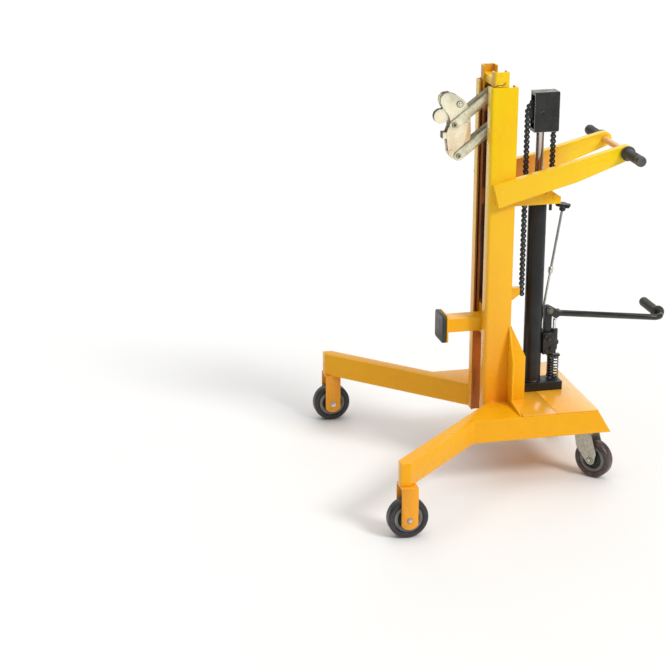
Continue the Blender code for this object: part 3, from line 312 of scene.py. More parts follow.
def paint_black(name="enamel_black", colour=(0.0075, 0.008, 0.0085), worn=(0.055, 0.056, 0.058), grain=0.07, scale=360.0,
                rough0=0.30, rough1=0.52):
    k = Look(name, 0.4, Specular_IOR_Level=0.42)
    cloud = k.span(k.noise(14.0, 4.0), 0.35, 0.7)
    base = k.mix(cloud, colour, tuple(1.8 * c + 0.004 for c in colour))
    lighter_edge = k.math("MULTIPLY", k.edge(0.0018), k.span(k.noise(70.0, 5.0, 0.7), 0.42, 0.66))
    base = k.mix(k.math("MULTIPLY", lighter_edge, 0.6), base, worn)
    rough = k.span(k.noise(26.0, 5.0), 0.3, 0.75, rough0, rough1)
    k.bump(k.noise(scale, 3.0, 0.5), grain, 0.001)
    return k.done(base, rough)


def paint_cast():
    k = Look("cast_black", 0.5, Specular_IOR_Level=0.5)
    base = k.mix(k.span(k.noise(40.0, 5.0), 0.35, 0.7), (0.006, 0.006, 0.007), (0.020, 0.020, 0.021))
    lighter_edge = k.math("MULTIPLY", k.edge(0.002), k.span(k.noise(90.0, 5.0, 0.7), 0.42, 0.60))
    base = k.mix(k.math("MULTIPLY", lighter_edge, 0.8), base, (0.15, 0.15, 0.145))
    specks = k.span(k.noise(170.0, 3.0, 0.6), 0.60, 0.66)
    base = k.mix(k.math("MULTIPLY", specks, 0.5), base, (0.11, 0.11, 0.105))
    rough = k.span(k.noise(60.0, 4.0), 0.3, 0.7, 0.34, 0.62)
    k.bump(k.noise(260.0, 4.0, 0.6), 0.35, 0.0012)
    k.bump(k.noise(70.0, 3.0, 0.6), 0.25, 0.003)
    return k.done(base, rough)


def metal(name, dark, light, rough0, rough1, scale=30.0, grain=0.05, fine=600.0, stretch=None, metallic=0.95, lighter_edge=None):
    k = Look(name, rough0, metallic)
    base = k.mix(k.span(k.noise(scale, 5.0, 0.6), 0.35, 0.68), dark, light)
    spots = k.span(k.noise(scale * 4.5, 4.0, 0.7), 0.64, 0.74)
    base = k.mix(k.math("MULTIPLY", spots, 0.3), base, tuple(0.45 * c for c in dark))
    if lighter_edge:
        edge_tint = k.math("MULTIPLY", k.edge(0.0012), k.span(k.noise(scale * 3, 4.0, 0.7), 0.35, 0.6))
        base = k.mix(edge_tint, base, lighter_edge)
    rough = k.span(k.noise(fine * 0.5, 4.0, 0.6, stretch), 0.3, 0.72, rough0, rough1)
    k.bump(k.noise(fine, 3.0, 0.5, stretch), grain, 0.0006)
    return k.done(base, rough)


def rubber(name, dark, light, rough0, rough1, grain=0.12, scale=28.0):
    k = Look(name, rough0, Specular_IOR_Level=0.45)
    base = k.mix(k.span(k.noise(scale, 5.0, 0.6), 0.35, 0.7), dark, light)
    dust = k.math("MULTIPLY", k.edge(0.0015), k.span(k.noise(scale * 3, 4.0, 0.7), 0.4, 0.65))
    base = k.mix(k.math("MULTIPLY", dust, 0.45), base, tuple(min(1.0, 2.2 * c + 0.03) for c in light))
    rough = k.span(k.noise(scale * 2, 4.0), 0.3, 0.7, rough0, rough1)
    k.bump(k.noise(700.0, 3.0, 0.6), grain, 0.0006)
    return k.done(base, rough)


LOOKS = {
    # The runs along an axis in these yellows are painted shade and sheen: the frame more orange low down, the arms more
    # orange towards the mast.
    "yellow_paint": paint_yellow("enamel_yellow", (0.91, 0.365, 0.016), (0.955, 0.640, 0.004), (0.95, 0.42, 0.018)),
    "golden_paint": paint_yellow("enamel_golden", (0.91, 0.43, 0.007), (0.93, 0.60, 0.005), (0.90, 0.35, 0.008),
                                 gloss=0.04, shine=0.18),
    "arm_paint": paint_yellow("enamel_arm", (0.95, 0.58, 0.006), (0.975, 0.66, 0.004), (0.95, 0.48, 0.010),
                                   (-0.02, -0.22, "X")),
    # Inner faces of the arms: painted shade, orange towards the mast.
    "arm_inner_shade_paint": paint_yellow("enamel_arm_inner_shade", (0.96, 0.38, 0.075), (0.97, 0.64, 0.012), (0.96, 0.50, 0.020),
                                    (-0.09, -0.20, "X")),
    "peach_paint": paint_yellow("enamel_bar", (0.90, 0.36, 0.090), (0.94, 0.50, 0.170), (0.97, 0.72, 0.42)),
    # Deck: paler towards the rear, a painted sheen standing for the reflection on the glossy deck.
    "deck_paint": paint_yellow("enamel_deck", (0.90, 0.420, 0.014), (0.95, 0.66, 0.085), (0.93, 0.46, 0.04),
                               (-0.15, -0.32, "X"), 0.5),
    # Painted shade for the faces inside the mast channels, with painted shadow bands on the sliding web.
    "recess_shade_paint": paint_recess_shade("enamel_recess_shade"),
    "recess_shade_banded": paint_recess_shade("enamel_recess_bands", ((0.540, 0.860), (0.905, 1.160))),
    "housing_black": paint_housing(),
    "black_paint": paint_black(),
    "bare_black": paint_black("enamel_spindle", (0.0075, 0.008, 0.0085), (0.012, 0.012, 0.012)),
    "olive_fitting": metal("fitting_olive", (0.10, 0.10, 0.075), (0.23, 0.23, 0.18), 0.30, 0.5, 60.0, 0.08, 400.0, None, 0.5,
                           (0.34, 0.34, 0.29)),
    "cast_black": paint_cast(),
    "lever_black": paint_black("enamel_lever", (0.014, 0.015, 0.0115), (0.10, 0.10, 0.085), 0.04, 360.0, 0.14, 0.30),
    "chrome": plated_chrome(),
    "zinc_plate": plated_zinc("zinc_head", (0.86, 0.79, 0.53), (1.0, 0.97, 0.79), 1.175),
    "zinc_link": plated_zinc("zinc_link", (0.56, 0.53, 0.35), (0.98, 0.95, 0.74), 0.9),
    "stem_chrome": metal("stem_chrome", (0.66, 0.66, 0.66), (0.86, 0.86, 0.85), 0.05, 0.14, 12.0, 0.02, 900.0,
                         (0.15, 0.15, 3.0), 1.0),
    # Dark zinc: painted shade on the edge faces of plated pieces and on the dark rings round pin ends.
    "zinc_edge": metal("zinc_dark_and_shade", (0.022, 0.018, 0.011), (0.085, 0.070, 0.043), 0.36, 0.55, 60.0, 0.10, 500.0,
                       (1.0, 1.0, 1.0), 0.15, (0.20, 0.17, 0.11)),
    "caster_zinc": metal("zinc_pressed", (0.40, 0.41, 0.34), (0.66, 0.67, 0.58), 0.34, 0.52, 130.0, 0.10, 420.0,
                         (1.0, 1.0, 1.0), 0.45, (0.82, 0.82, 0.76)),
    "chain_steel": metal("chain_oiled", (0.018, 0.018, 0.019), (0.050, 0.051, 0.050), 0.24, 0.44, 60.0, 0.05, 500.0,
                         None, 0.6, (0.10, 0.10, 0.10)),
    "pin_steel": metal("pin_bright", (0.20, 0.20, 0.20), (0.42, 0.42, 0.41), 0.2, 0.36, 120.0, 0.04, 700.0, None, 0.9),
    "bolt_steel": metal("bolt_zinc", (0.55, 0.54, 0.50), (0.78, 0.77, 0.72), 0.22, 0.40, 90.0, 0.05, 700.0, None,
                        0.95, (0.88, 0.87, 0.84)),
    "rod_steel": metal("rod_dull", (0.22, 0.22, 0.215), (0.46, 0.46, 0.45), 0.26, 0.42, 60.0, 0.04, 800.0,
                       (1.0, 1.0, 0.2), 0.9),
    "spring_steel": metal("spring_wire", (0.045, 0.045, 0.046), (0.19, 0.19, 0.19), 0.16, 0.30, 120.0, 0.04, 700.0,
                          None, 0.9, (0.30, 0.30, 0.30)),
    "dark_rubber": rubber("rubber_black", (0.026, 0.0255, 0.021), (0.060, 0.058, 0.048), 0.34, 0.55),
    "grip_end": rubber("rubber_end", (0.060, 0.066, 0.062), (0.13, 0.14, 0.13), 0.36, 0.5, 0.10, 90.0),
    "tread_rubber": rubber("rubber_tread", (0.026, 0.024, 0.027), (0.050, 0.044, 0.048), 0.30, 0.46),
    "rear_rubber": rubber("rubber_rear", (0.055, 0.036, 0.034), (0.120, 0.088, 0.082), 0.26, 0.42, 0.12, 60.0),
    "hub_grey": rubber("nylon_grey", (0.135, 0.138, 0.130), (0.24, 0.245, 0.232), 0.36, 0.5, 0.06),
    "hub_dark": rubber("nylon_dark", (0.010, 0.013, 0.012), (0.026, 0.032, 0.030), 0.34, 0.5, 0.06),
}


# Mesh helpers


def finish_piece(name, bm, looks, body, replaces=(), bevel=0.0, steps=2, smooth=34.0, ride=True):
    me = bpy.data.meshes.new(name)
    bmesh.ops.recalc_face_normals(bm, faces=bm.faces)
    bm.to_mesh(me)
    bm.free()
    for key in [looks] if isinstance(looks, str) else looks:
        me.materials.append(LOOKS[key])
    ob = bpy.data.objects.new(name, me)
    bpy.context.scene.collection.objects.link(ob)
    me.shade_smooth()
    if bevel:
        mod = ob.modifiers.new("edge_round", "BEVEL")
        mod.width = bevel
        mod.segments = steps
        mod.limit_method = "ANGLE"
        mod.angle_limit = math.radians(32)
        mod.use_clamp_overlap = False
        mod.harden_normals = True
    else:
        me.set_sharp_from_angle(angle=math.radians(smooth))
    if ride:
        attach(ob, body)
    if replaces:
        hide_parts(*([replaces] if isinstance(replaces, str) else replaces))
    return ob


def copy_of(node):
    """The node's own solid as clean faces."""
    bm = bmesh.new()
    bm.from_mesh(NODES[node].data)
    bmesh.ops.remove_doubles(bm, verts=bm.verts, dist=1e-6)
    bmesh.ops.dissolve_limit(bm, angle_limit=math.radians(0.6), verts=bm.verts, edges=bm.edges)
    return bm


def refine(node, look, bevel=0.0008, steps=2, extra=None, paint=None):
    """A piece with rounded edges in place of a node, riding on the node's own body."""
    bm = copy_of(node)
    if extra:
        extra(bm)
    if paint:
        for f in bm.faces:
            f.material_index = paint(f)
    slots = look if isinstance(look, tuple) else (look,)
    return finish_piece(node + "_form", bm, slots, NODES[node]["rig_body"], node, bevel, steps)


def ring_faces(bm, rings, closed=False):
    n = max(len(r) for r in rings)
    pairs = list(zip(rings, rings[1:]))
    if closed:
        pairs.append((rings[-1], rings[0]))
    for a, b in pairs:
        for i in range(n):
            j = (i + 1) % n
            corners = []
            for v in (a[i % len(a)], a[j % len(a)], b[j % len(b)], b[i % len(b)]):
                if v not in corners:
                    corners.append(v)
            if len(corners) > 2:
                bm.faces.new(corners)


def lathe(bm, profile, centre, axis="z", n=72, closed=True):
    """Adds a (radius, height) profile turned round an axis."""
    c = Vector(centre)
    rings = []
    for r, h in profile:
        if r < 1e-7:
            rings.append([bm.verts.new(c + place(0.0, 0.0, h, axis))])
        else:
            rings.append(
                [
                    bm.verts.new(c + place(r * math.cos(2 * math.pi * i / n), r * math.sin(2 * math.pi * i / n), h, axis))
                    for i in range(n)
                ]
            )
    ring_faces(bm, rings, closed)
    return bm


def rounded(profile, radii, steps=4):
    """Rounds the corners of a closed profile; a radius for each corner, 0 keeps it sharp."""
    out = []
    n = len(profile)
    for i in range(n):
        p = Vector((*profile[i], 0.0))
        a = Vector((*profile[i - 1], 0.0)) - p
        b = Vector((*profile[(i + 1) % n], 0.0)) - p
        r = radii[i] if isinstance(radii, (list, tuple)) else radii
        r = min(r, 0.45 * a.length, 0.45 * b.length)
        if r < 1e-6 or a.normalized().cross(b.normalized()).length < 1e-3:
            out.append(profile[i])
            continue
        p0, p2 = p + a.normalized() * r, p + b.normalized() * r
        for k in range(steps + 1):
            t = k / steps
            q = (1 - t) ** 2 * p0 + 2 * t * (1 - t) * p + t * t * p2
            out.append((q.x, q.y))
    return out


def tube(bm, points, radius, n=14, caps=True, up=Vector((0.0, 0.0, 1.0))):
    """Adds a round rod along points; the radius may be a list."""
    pts = [Vector(p) for p in points]
    rings = []
    for i, p in enumerate(pts):
        t = (pts[min(i + 1, len(pts) - 1)] - pts[max(i - 1, 0)]).normalized()
        guide = up if abs(t.dot(up)) < 0.95 else Vector((1.0, 0.0, 0.0))
        side = t.cross(guide).normalized()
        top = side.cross(t)
        r = radius[i] if isinstance(radius, (list, tuple)) else radius
        rings.append(
            [
                bm.verts.new(p + side * r * math.cos(2 * math.pi * k / n) + top * r * math.sin(2 * math.pi * k / n))
                for k in range(n)
            ]
        )
    ring_faces(bm, rings)
    if caps:
        bm.faces.new(rings[0][::-1])
        bm.faces.new(rings[-1])
    return bm


def plate(bm, outline, axis, lo, hi, chamfer=0.0):
    """Adds a flat convex outline carried from lo to hi, with small chamfers if asked."""
    cu = sum(p[0] for p in outline) / len(outline)
    cv = sum(p[1] for p in outline) / len(outline)
    size = max(math.hypot(u - cu, v - cv) for u, v in outline)
    k = 1.0 - chamfer / size
    levels = [(lo, k), (lo + chamfer, 1.0), (hi - chamfer, 1.0), (hi, k)] if chamfer else [(lo, 1.0), (hi, 1.0)]
    rings = []
    for w, s in levels:
        rings.append([bm.verts.new(place(cu + (u - cu) * s, cv + (v - cv) * s, w, axis)) for u, v in outline])
    ring_faces(bm, rings)
    bm.faces.new(rings[0][::-1])
    bm.faces.new(rings[-1])
    return bm


def circle(cx, cy, r, n=24, start=0.0):
    return [
        (cx + r * math.cos(start + 2 * math.pi * i / n), cy + r * math.sin(start + 2 * math.pi * i / n))
        for i in range(n)
    ]


def hex_head(bm, centre, axis, side, across, thick, washer=0.0, start=0.2):
    """Adds a washer and a domed hexagon head on a face that looks along side * axis."""
    i, j, k = AXES[axis]
    c = Vector(centre)
    u, v, w = c[i], c[j], c[k]
    base = w
    if washer:
        lo, hi = sorted((base, base + side * 0.0012))
        plate(bm, circle(u, v, washer, 32), axis, lo, hi, 0.0003)
        base += side * 0.0013
    lo, hi = sorted((base, base + side * thick))
    plate(bm, circle(u, v, across / math.sqrt(3), 6, start), axis, lo, hi, 0.0006)
    lo, hi = sorted((base + side * thick * 0.6, base + side * (thick + 0.0008)))
    plate(bm, circle(u, v, across * 0.44, 24), axis, lo, hi, 0.0004)
    return bm


def ring_stack(bm, centre, axis, side, steps):
    """Adds turned steps on a face that looks along side * axis: radius, start, end, material."""
    i, j, k = AXES[axis]
    for r, low, high, index in steps:
        old = set(bm.faces)
        lo, hi = sorted((centre[k] + side * low, centre[k] + side * high))
        plate(bm, circle(centre[i], centre[j], r, 36), axis, lo, hi, 0.0003)
        for f in bm.faces:
            if f not in old:
                f.material_index = index
    return bm


def weld(bm, start, end, radius=0.0022, pitch=0.0022):
    """Adds a rippled weld bead between two points."""
    a, b = Vector(start), Vector(end)
    count = max(6, round((b - a).length / pitch) * 3)
    points, radii = [], []
    for i in range(count + 1):
        t = i / count
        points.append(a.lerp(b, t))
        ends = min(1.0, 8.0 * min(t, 1.0 - t) + 0.35)
        radii.append(radius * ends * (0.88 + 0.16 * math.cos(2 * math.pi * i / 3) + 0.08 * math.sin(i * 1.9)))
    return tube(bm, points, radii, 8)


# Frame, mast and carriage: rounded sheet edges, paint


def inner_faces(front_x, s, sliding):
    """0 on a channel's outer and end faces, 1 on its inner faces in painted shade, 2 on the web of a sliding channel in
    painted shade with shadow bands.
    """

    def pick(f):
        c, n = f.calc_center_median(), f.normal
        if abs(n.z) > 0.9 or s * n.y > 0.05:
            return 0
        if sliding:
            return 2 if s * n.y < -0.9 and abs(c.y) > 0.068 else 1
        return 0 if n.x > 0.5 and c.x > front_x - 0.009 or n.x < -0.9 and c.x < front_x - 0.08 else 1

    return pick


def zinc_faces(f):
    """1 on the edge faces of a plated piece, made dark as painted shade, 0 on its broad sides."""
    return 0 if abs(f.normal.y) > 0.6 else 1


for s, side in ((1, "left"), (-1, "right")):
    refine(side + "_beam", "golden_paint", 0.0016, 3)
    refine(side + "_mast_channel", ("yellow_paint", "recess_shade_paint"), 0.0009, paint=inner_faces(MAST_FRONT, s, False))
    refine(side + "_mast_gusset", "golden_paint", 0.0009)
    refine(side + "_fork", "yellow_paint", 0.0010)
    # Faces of the arms that look inwards take the painted shade.
    refine(side + "_handle_arm", ("arm_paint", "arm_inner_shade_paint"), 0.0012, 3,
           paint=lambda f, s=s: 1 if s * f.normal.y < -0.5 else 0)
    refine(side + "_inner_channel", ("yellow_paint", "recess_shade_paint", "recess_shade_banded"), 0.0008,
           paint=inner_faces(INNER_FRONT, s, True))
    refine(side + "_caster_plate", "caster_zinc", 0.0006)
for part, look, bevel in (
    ("deck_front", "deck_paint", 0.0010),
    ("deck_rear", "deck_paint", 0.0010),
    ("front_cross_plate", "golden_paint", 0.0008),
    ("rear_cross_plate", "golden_paint", 0.0008),
    ("cylinder_bracket", "yellow_paint", 0.0008),
    ("carriage_top_tie", "yellow_paint", 0.0006),
    ("support_arm", "golden_paint", 0.0012),
    ("chain_lug", "yellow_paint", 0.0012),
    ("support_pad", "dark_rubber", 0.0025),
    ("pump_base", "black_paint", 0.0014),
    ("chain_anchor", "black_paint", 0.0005),
    ("lever_bracket", "black_paint", 0.0010),
    ("sprocket", "chain_steel", 0.0004),
):
    refine(part, look, bevel)
for part, look, bevel in (("upper_link", "zinc_link", 0.0007), ("lower_link", "zinc_link", 0.0007),
                          ("gripper_head", "zinc_plate", 0.0003), ("grip_jaw", "zinc_plate", 0.0012)):
    refine(part, (look, "zinc_edge"), bevel, paint=zinc_faces)


def cast_knob(bm):
    """Round knob and bosses cast on the valve block."""
    dome = [(0.0, 0.0), (0.0085, 0.0), (0.0105, -0.004), (0.0108, -0.009), (0.0095, -0.0135), (0.0060, -0.0165), (0.0, -0.0175)]
    lathe(bm, dome, (DATUM - 0.160, 0.0085, 0.402), "x", 40, False)
    lathe(bm, [(0.0, 0.0), (0.0085, 0.0), (0.0078, 0.0040), (0.0050, 0.0058), (0.0, 0.0062)],
          (DATUM - 0.131, 0.0195, 0.427), "y", 36, False)
    lathe(bm, [(0.0, 0.0), (0.0062, 0.0), (0.0058, 0.0030), (0.0, 0.0036)], (DATUM - 0.133, 0.0195, 0.376), "y", 30, False)


refine("valve_block", "cast_black", 0.0022, 3, cast_knob)
refine("foot_lever", "lever_black", 0.0)
refine("pump_piston", ("stem_chrome", "black_paint"), 0.0005, paint=lambda f: 1 if f.calc_center_median().z < 0.362 else 0)

# Sprocket housing: two side plates with rounded corners, a bent back and roof, sill and visor
HX0, HX1, HZ0, HZ1, HY = DATUM - 0.147, DATUM - 0.065, 1.099, 1.226, 0.020


def rounded_box(x0, x1, z0, z1, r, corners=(1, 1, 1, 1)):
    """Outline from the front top corner round by the back; corners set to 0 stay nearly sharp."""
    out = []
    for (cx, cz, sx, sz, a), keep in zip(((x1, z1, -1, -1, 0), (x0, z1, 1, -1, 90), (x0, z0, 1, 1, 180), (x1, z0, -1, 1, 270)),
                                         corners):
        q = r if keep else 0.0008
        for i in range(7):
            t = math.radians(a + 90 * i / 6)
            out.append((cx + sx * q + q * math.cos(t), cz + sz * q + q * math.sin(t)))
    return out


bm = bmesh.new()
for s in (1, -1):
    plate(bm, rounded_box(HX0, HX1, HZ0, HZ1, 0.005, (0, 1, 1, 0)), "y", *sorted((s * (HY - 0.003), s * HY)), 0.0007)
outer = [(HX1 - 0.0005, HZ1 - 0.0003)] + rounded_box(HX0 + 0.0003, HX1, HZ0 + 0.020, HZ1 - 0.0003, 0.0048, (0, 1, 0, 0))[7:14]
outer += [(HX0 + 0.0003, HZ0 + 0.020)]
inner = [(x + 0.0026 * (1 if x < HX0 + 0.01 else 0), z - 0.0026 * (1 if z > HZ1 - 0.01 else 0)) for x, z in outer]
plate(bm, outer + inner[::-1], "y", -HY + 0.002, HY - 0.002)
plate(bm, rounded_box(RAM_X - 0.017, HX1 - 0.0003, HZ0 + 0.0003, HZ0 + 0.010, 0.001), "y", -HY + 0.002, HY - 0.002)
plate(bm, rounded_box(HX1 - 0.0032, HX1 - 0.0003, HZ1 - 0.012, HZ1 - 0.001, 0.001), "y", -HY + 0.002, HY - 0.002)
plate(bm, circle(RAM_X, SPROCKET_Z, 0.006, 32), "y", -HY - 0.0014, HY + 0.0014, 0.0005)
finish_piece("sprocket_housing_form", bm, "housing_black", "ram", "sprocket_housing")


# Wheels
def tyre_profile(width):
    h = width / 2
    pts = [
        (0.0440, -h + 0.003),
        (0.0520, -h),
        (0.0585, -h + 0.001),
        (WHEEL_R, -h + 0.007),
        (WHEEL_R, h - 0.007),
        (0.0585, h - 0.001),
        (0.0520, h),
        (0.0440, h - 0.003),
    ]
    return rounded(pts, 0.003, 4)


def hub_profile(width, length):
    h, q, r = width / 2, length / 2, 0.0437
    pts = [(0.0055, -q), (0.0105, -q), (0.0105, -q + 0.003), (0.0150, -q + 0.0035), (0.0175, -0.0095)]
    pts += [(0.0315, -0.0075), (0.0335, -h + 0.0032), (r, -h + 0.0042)]
    other = [(a, -b) for a, b in reversed(pts)]
    return rounded(pts + other, 0.0012, 3)


def wheel(name, centre, width, length, turn, body):
    spin = Matrix.Rotation(turn, 4, "Z")
    to = Matrix.Translation(centre) @ spin
    bm = lathe(bmesh.new(), tyre_profile(width), (0, 0, 0), "y", 96)
    bmesh.ops.transform(bm, matrix=to, verts=bm.verts)
    look = "rear_rubber" if "rear" in name else "tread_rubber"
    finish_piece(name + "_tyre_form", bm, look, body, name + "_tyre", smooth=50)
    bm = lathe(bmesh.new(), hub_profile(width, length), (0, 0, 0), "y", 80)
    for f in bm.faces:
        c = f.calc_center_median()
        f.material_index = 0 if math.hypot(c.x, c.z) > 0.0322 else 1
    bmesh.ops.transform(bm, matrix=to, verts=bm.verts)
    finish_piece(name + "_hub_form", bm, ("hub_grey", "hub_dark"), body, name + "_hub", smooth=40)


for s, side in ((1, "left"), (-1, "right")):
    wheel(side + "_front", (FRONT_X, s * FRONT_Y, AXLE_Z), 0.040, 0.052, 0.0, side + "_front_wheel")
    x = CASTER_X - CASTER_TRAIL * math.cos(CASTER_TURN)
    y = CASTER_Y + CASTER_TRAIL * math.sin(CASTER_TURN)
    wheel(side + "_rear", (x, s * y, AXLE_Z), 0.036, 0.044, -s * CASTER_TURN, side + "_rear_wheel")

# Front axle bolts
for s, side in ((1, "left"), (-1, "right")):
    bm = bmesh.new()
    plate(bm, circle(FRONT_X, AXLE_Z, 0.005, 28), "y", *sorted((s * 0.4545, s * 0.5335)))
    rings = ((0.0090, 0.0002, 0.0008, 1), (0.0076, 0.0008, 0.0016, 0), (0.0058, 0.0015, 0.0022, 1), (0.0045, 0.0020, 0.0048, 0))
    ring_stack(bm, (FRONT_X, s * FORK_Y1, AXLE_Z), "y", s, rings)
    hex_head(bm, (FRONT_X, s * 0.4648, AXLE_Z), "y", -s, 0.013, 0.0055, 0.0095)
    finish_piece(side + "_front_axle_form", bm, ("bolt_steel", "zinc_edge"), "base_frame", side + "_front_axle")

# Caster forks: two pressed cheeks under the swivel race, with the axle through them
CROWN_TOP, CROWN_LOW = 0.1508, 0.1418
cheek = [(0.026, CROWN_TOP), (-0.034, CROWN_TOP), (-0.0555, AXLE_Z + 0.022)]
for i in range(13):
    a = math.radians(172 + 156 * i / 12)
    cheek.append((-CASTER_TRAIL + 0.0155 * math.cos(a), AXLE_Z + 0.0155 * math.sin(a)))
cheek.append((0.0165, AXLE_Z + 0.037))
for s, side in ((1, "left"), (-1, "right")):
    race = rounded([(0.0107, 0.0), (0.0275, 0.0), (0.0275, 0.009), (0.0107, 0.009)], 0.0012)
    bm = lathe(bmesh.new(), race, (0, 0, CROWN_LOW), "z", 64)
    plate(bm, circle(-CASTER_TRAIL, AXLE_Z, 0.0048, 28), "y", -0.031, 0.031)
    rings = ((0.0112, 0.0, 0.0007, 1), (0.0094, 0.0006, 0.0016, 0), (0.0064, 0.0015, 0.0023, 1), (0.0046, 0.0020, 0.0058, 2))
    for t in (1, -1):
        plate(bm, rounded(cheek, 0.004, 4), "y", *sorted((t * 0.0240, t * 0.0270)), 0.0006)
        ring_stack(bm, (-CASTER_TRAIL, t * 0.0270, AXLE_Z), "y", t, rings)
    spin = Matrix.Translation((CASTER_X, s * CASTER_Y, 0.0)) @ Matrix.Rotation(-s * CASTER_TURN, 4, "Z")
    bmesh.ops.transform(bm, matrix=spin, verts=bm.verts)
    finish_piece(side + "_caster_fork_form", bm, ("caster_zinc", "zinc_edge", "bolt_steel"),
                 NODES[side + "_caster_fork"]["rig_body"], side + "_caster_fork")

# Push handle and its grips
bm = lathe(bmesh.new(), rounded([(0.0, -0.205), (0.0105, -0.205), (0.0105, 0.205), (0.0, 0.205)], 0.0015),
           (BAR_X, 0, BAR_Z), "y", 48, False)
finish_piece("handle_bar_form", bm, "peach_paint", "base_frame", "handle_bar")


def grip_profile():
    core = 0.0108
    pts = [(core, 0.0), (0.0225, 0.0), (0.0235, 0.0012), (0.0235, 0.0050), (0.0205, 0.0075), (0.0182, 0.0105)]
    pts += [(0.0176, 0.0150), (0.0166, 0.0300)]
    for i in range(9):
        y = 0.034 + i * 0.0064
        pts += [(0.0163, y), (0.0152, y + 0.0012), (0.0152, y + 0.0026), (0.0163, y + 0.0038)]
    pts += [(0.0163, 0.0935), (0.0170, 0.0965), (0.0172, 0.1070), (0.0164, 0.1118), (0.0142, 0.1140), (0.0112, 0.1140)]
    pts += [(0.0104, 0.1128), (0.0, 0.1128)]
    pts += [(0.0, 0.0960), (core, 0.0960)]
    return pts


for s, side in ((1, "left"), (-1, "right")):
    profile = [(r, s * h) for r, h in grip_profile()]
    bm = lathe(bmesh.new(), profile, (BAR_X, s * GRIP_Y, BAR_Z), "y", 64)
    for f in bm.faces:
        f.material_index = 1 if abs(f.calc_center_median().y) > GRIP_Y + 0.1126 else 0
    finish_piece(side + "_grip_form", bm, ("dark_rubber", "grip_end"), "base_frame", side + "_grip", smooth=28)

# Pedal sleeve
sleeve = [(0.0103, 0.0), (0.0225, 0.0), (0.0235, -0.001), (0.0235, -0.0042), (0.0190, -0.0068), (0.0172, -0.0100)]
for i in range(13):
    y = -0.016 - i * 0.0078
    sleeve += [(0.0160, y), (0.0152, y - 0.0014), (0.0152, y - 0.0032), (0.0160, y - 0.0046)]
sleeve += [(0.0160, -0.1215), (0.0150, -0.1255), (0.0120, -0.1270), (0.0, -0.1270), (0.0, -0.1235), (0.0103, -0.1235)]
bm = lathe(bmesh.new(), sleeve, (PEDAL_X, -0.047, PEDAL_Z), "y", 56)
finish_piece("pedal_grip_form", bm, "dark_rubber", "pedal_lever", "pedal_grip", smooth=28)

# Lift cylinder and ram
low, top = 0.2744, 0.900
tube_pts = [(0.0, low), (0.0305, low), (0.0305, low + 0.004), (TUBE_R, low + 0.006), (TUBE_R, top - 0.022)]
tube_pts += [(0.0286, top - 0.021), (0.0286, top - 0.019), (TUBE_R, top - 0.018), (TUBE_R, top - 0.002)]
tube_pts += [(0.0272, top), (0.0150, top), (0.0128, top - 0.001), (0.0128, top - 0.030), (0.0, top - 0.030)]
bm = lathe(bmesh.new(), tube_pts, (RAM_X, 0, 0), "z", 88, False)
finish_piece("cylinder_tube_form", bm, "black_paint", "base_frame", "cylinder_tube")
rod_pts = [(0.0, 0.430), (0.0232, 0.430), (0.0232, 0.445), (0.0125, 0.446), (0.0125, 1.0982), (0.0, 1.0982)]
bm = lathe(bmesh.new(), rod_pts, (RAM_X, 0, 0), "z", 72, False)
finish_piece("piston_rod_form", bm, "chrome", "ram", "piston_rod")
barrel = [(0.0, 0.2744), (0.0130, 0.2744), (0.0130, 0.2800), (0.0115, 0.2815), (0.0115, 0.3560), (0.0124, 0.3575),
          (0.0124, 0.3647), (0.0, 0.3647)]
bm = lathe(bmesh.new(), barrel, (PUSH_X, -0.0235, 0), "z", 56, False)
finish_piece("pump_barrel_form", bm, "black_paint", "base_frame", "pump_barrel")

# Return springs
SPRING_LOW, SPRING_TOP, WIRE, COIL_R, COILS = 0.2745, 0.3515, 0.0018, 0.0072, 9.5
for name, x in (("front_return_spring", PUSH_X + 0.0108), ("rear_return_spring", PUSH_X - 0.0108)):
    points = []
    total = int(COILS * 28)
    for i in range(total + 1):
        turn = COILS * i / total
        share = min(1.0, max(0.0, (turn - 1.0) / (COILS - 2.0)))
        flat = min(turn, 1.0) * 0.030 + max(0.0, turn - (COILS - 1.0)) * 0.030
        lift = (SPRING_TOP - SPRING_LOW - 2 * WIRE) * (0.94 * share + flat)
        a = 2 * math.pi * turn
        points.append((x + COIL_R * math.cos(a), COIL_R * math.sin(a), SPRING_LOW + WIRE + lift))
    bm = tube(bmesh.new(), points, WIRE, 9)
    ob = finish_piece(name + "_form", bm, "spring_steel", "base_frame", name, smooth=60)
    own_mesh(ob)


# Chain: plates, rollers and pins along the real line of the chain
def chain_point(s):
    """Place and heading on the chain line at a length s from its lower front end."""
    front = SPROCKET_Z - CHAIN_LOW
    bend = math.pi * PITCH_R
    if s < front:
        return Vector((CHAIN_FRONT_X, 0.0, CHAIN_LOW + s))
    if s < front + bend:
        a = (s - front) / PITCH_R
        return Vector((RAM_X + PITCH_R * math.cos(a), 0.0, SPROCKET_Z + PITCH_R * math.sin(a)))
    return Vector((CHAIN_REAR_X, 0.0, SPROCKET_Z - (s - front - bend)))


CHAIN_LENGTH = SPROCKET_Z - CHAIN_LOW + math.pi * PITCH_R + SPROCKET_Z - ANCHOR_TOP
END = 0.0070
LINKS = round((CHAIN_LENGTH - 2 * END) / 0.015875)
STEP = (CHAIN_LENGTH - 2 * END) / LINKS


def link_outline(length, r, waist):
    pts = []
    for cx, a0 in ((0.0, 68), (length, -112)):
        for i in range(13):
            a = math.radians(a0 + 224 * i / 12)
            pts.append((cx + r * math.cos(a), r * math.sin(a)))
        pts.append((length / 2, -waist if cx == 0.0 else waist))
    return pts


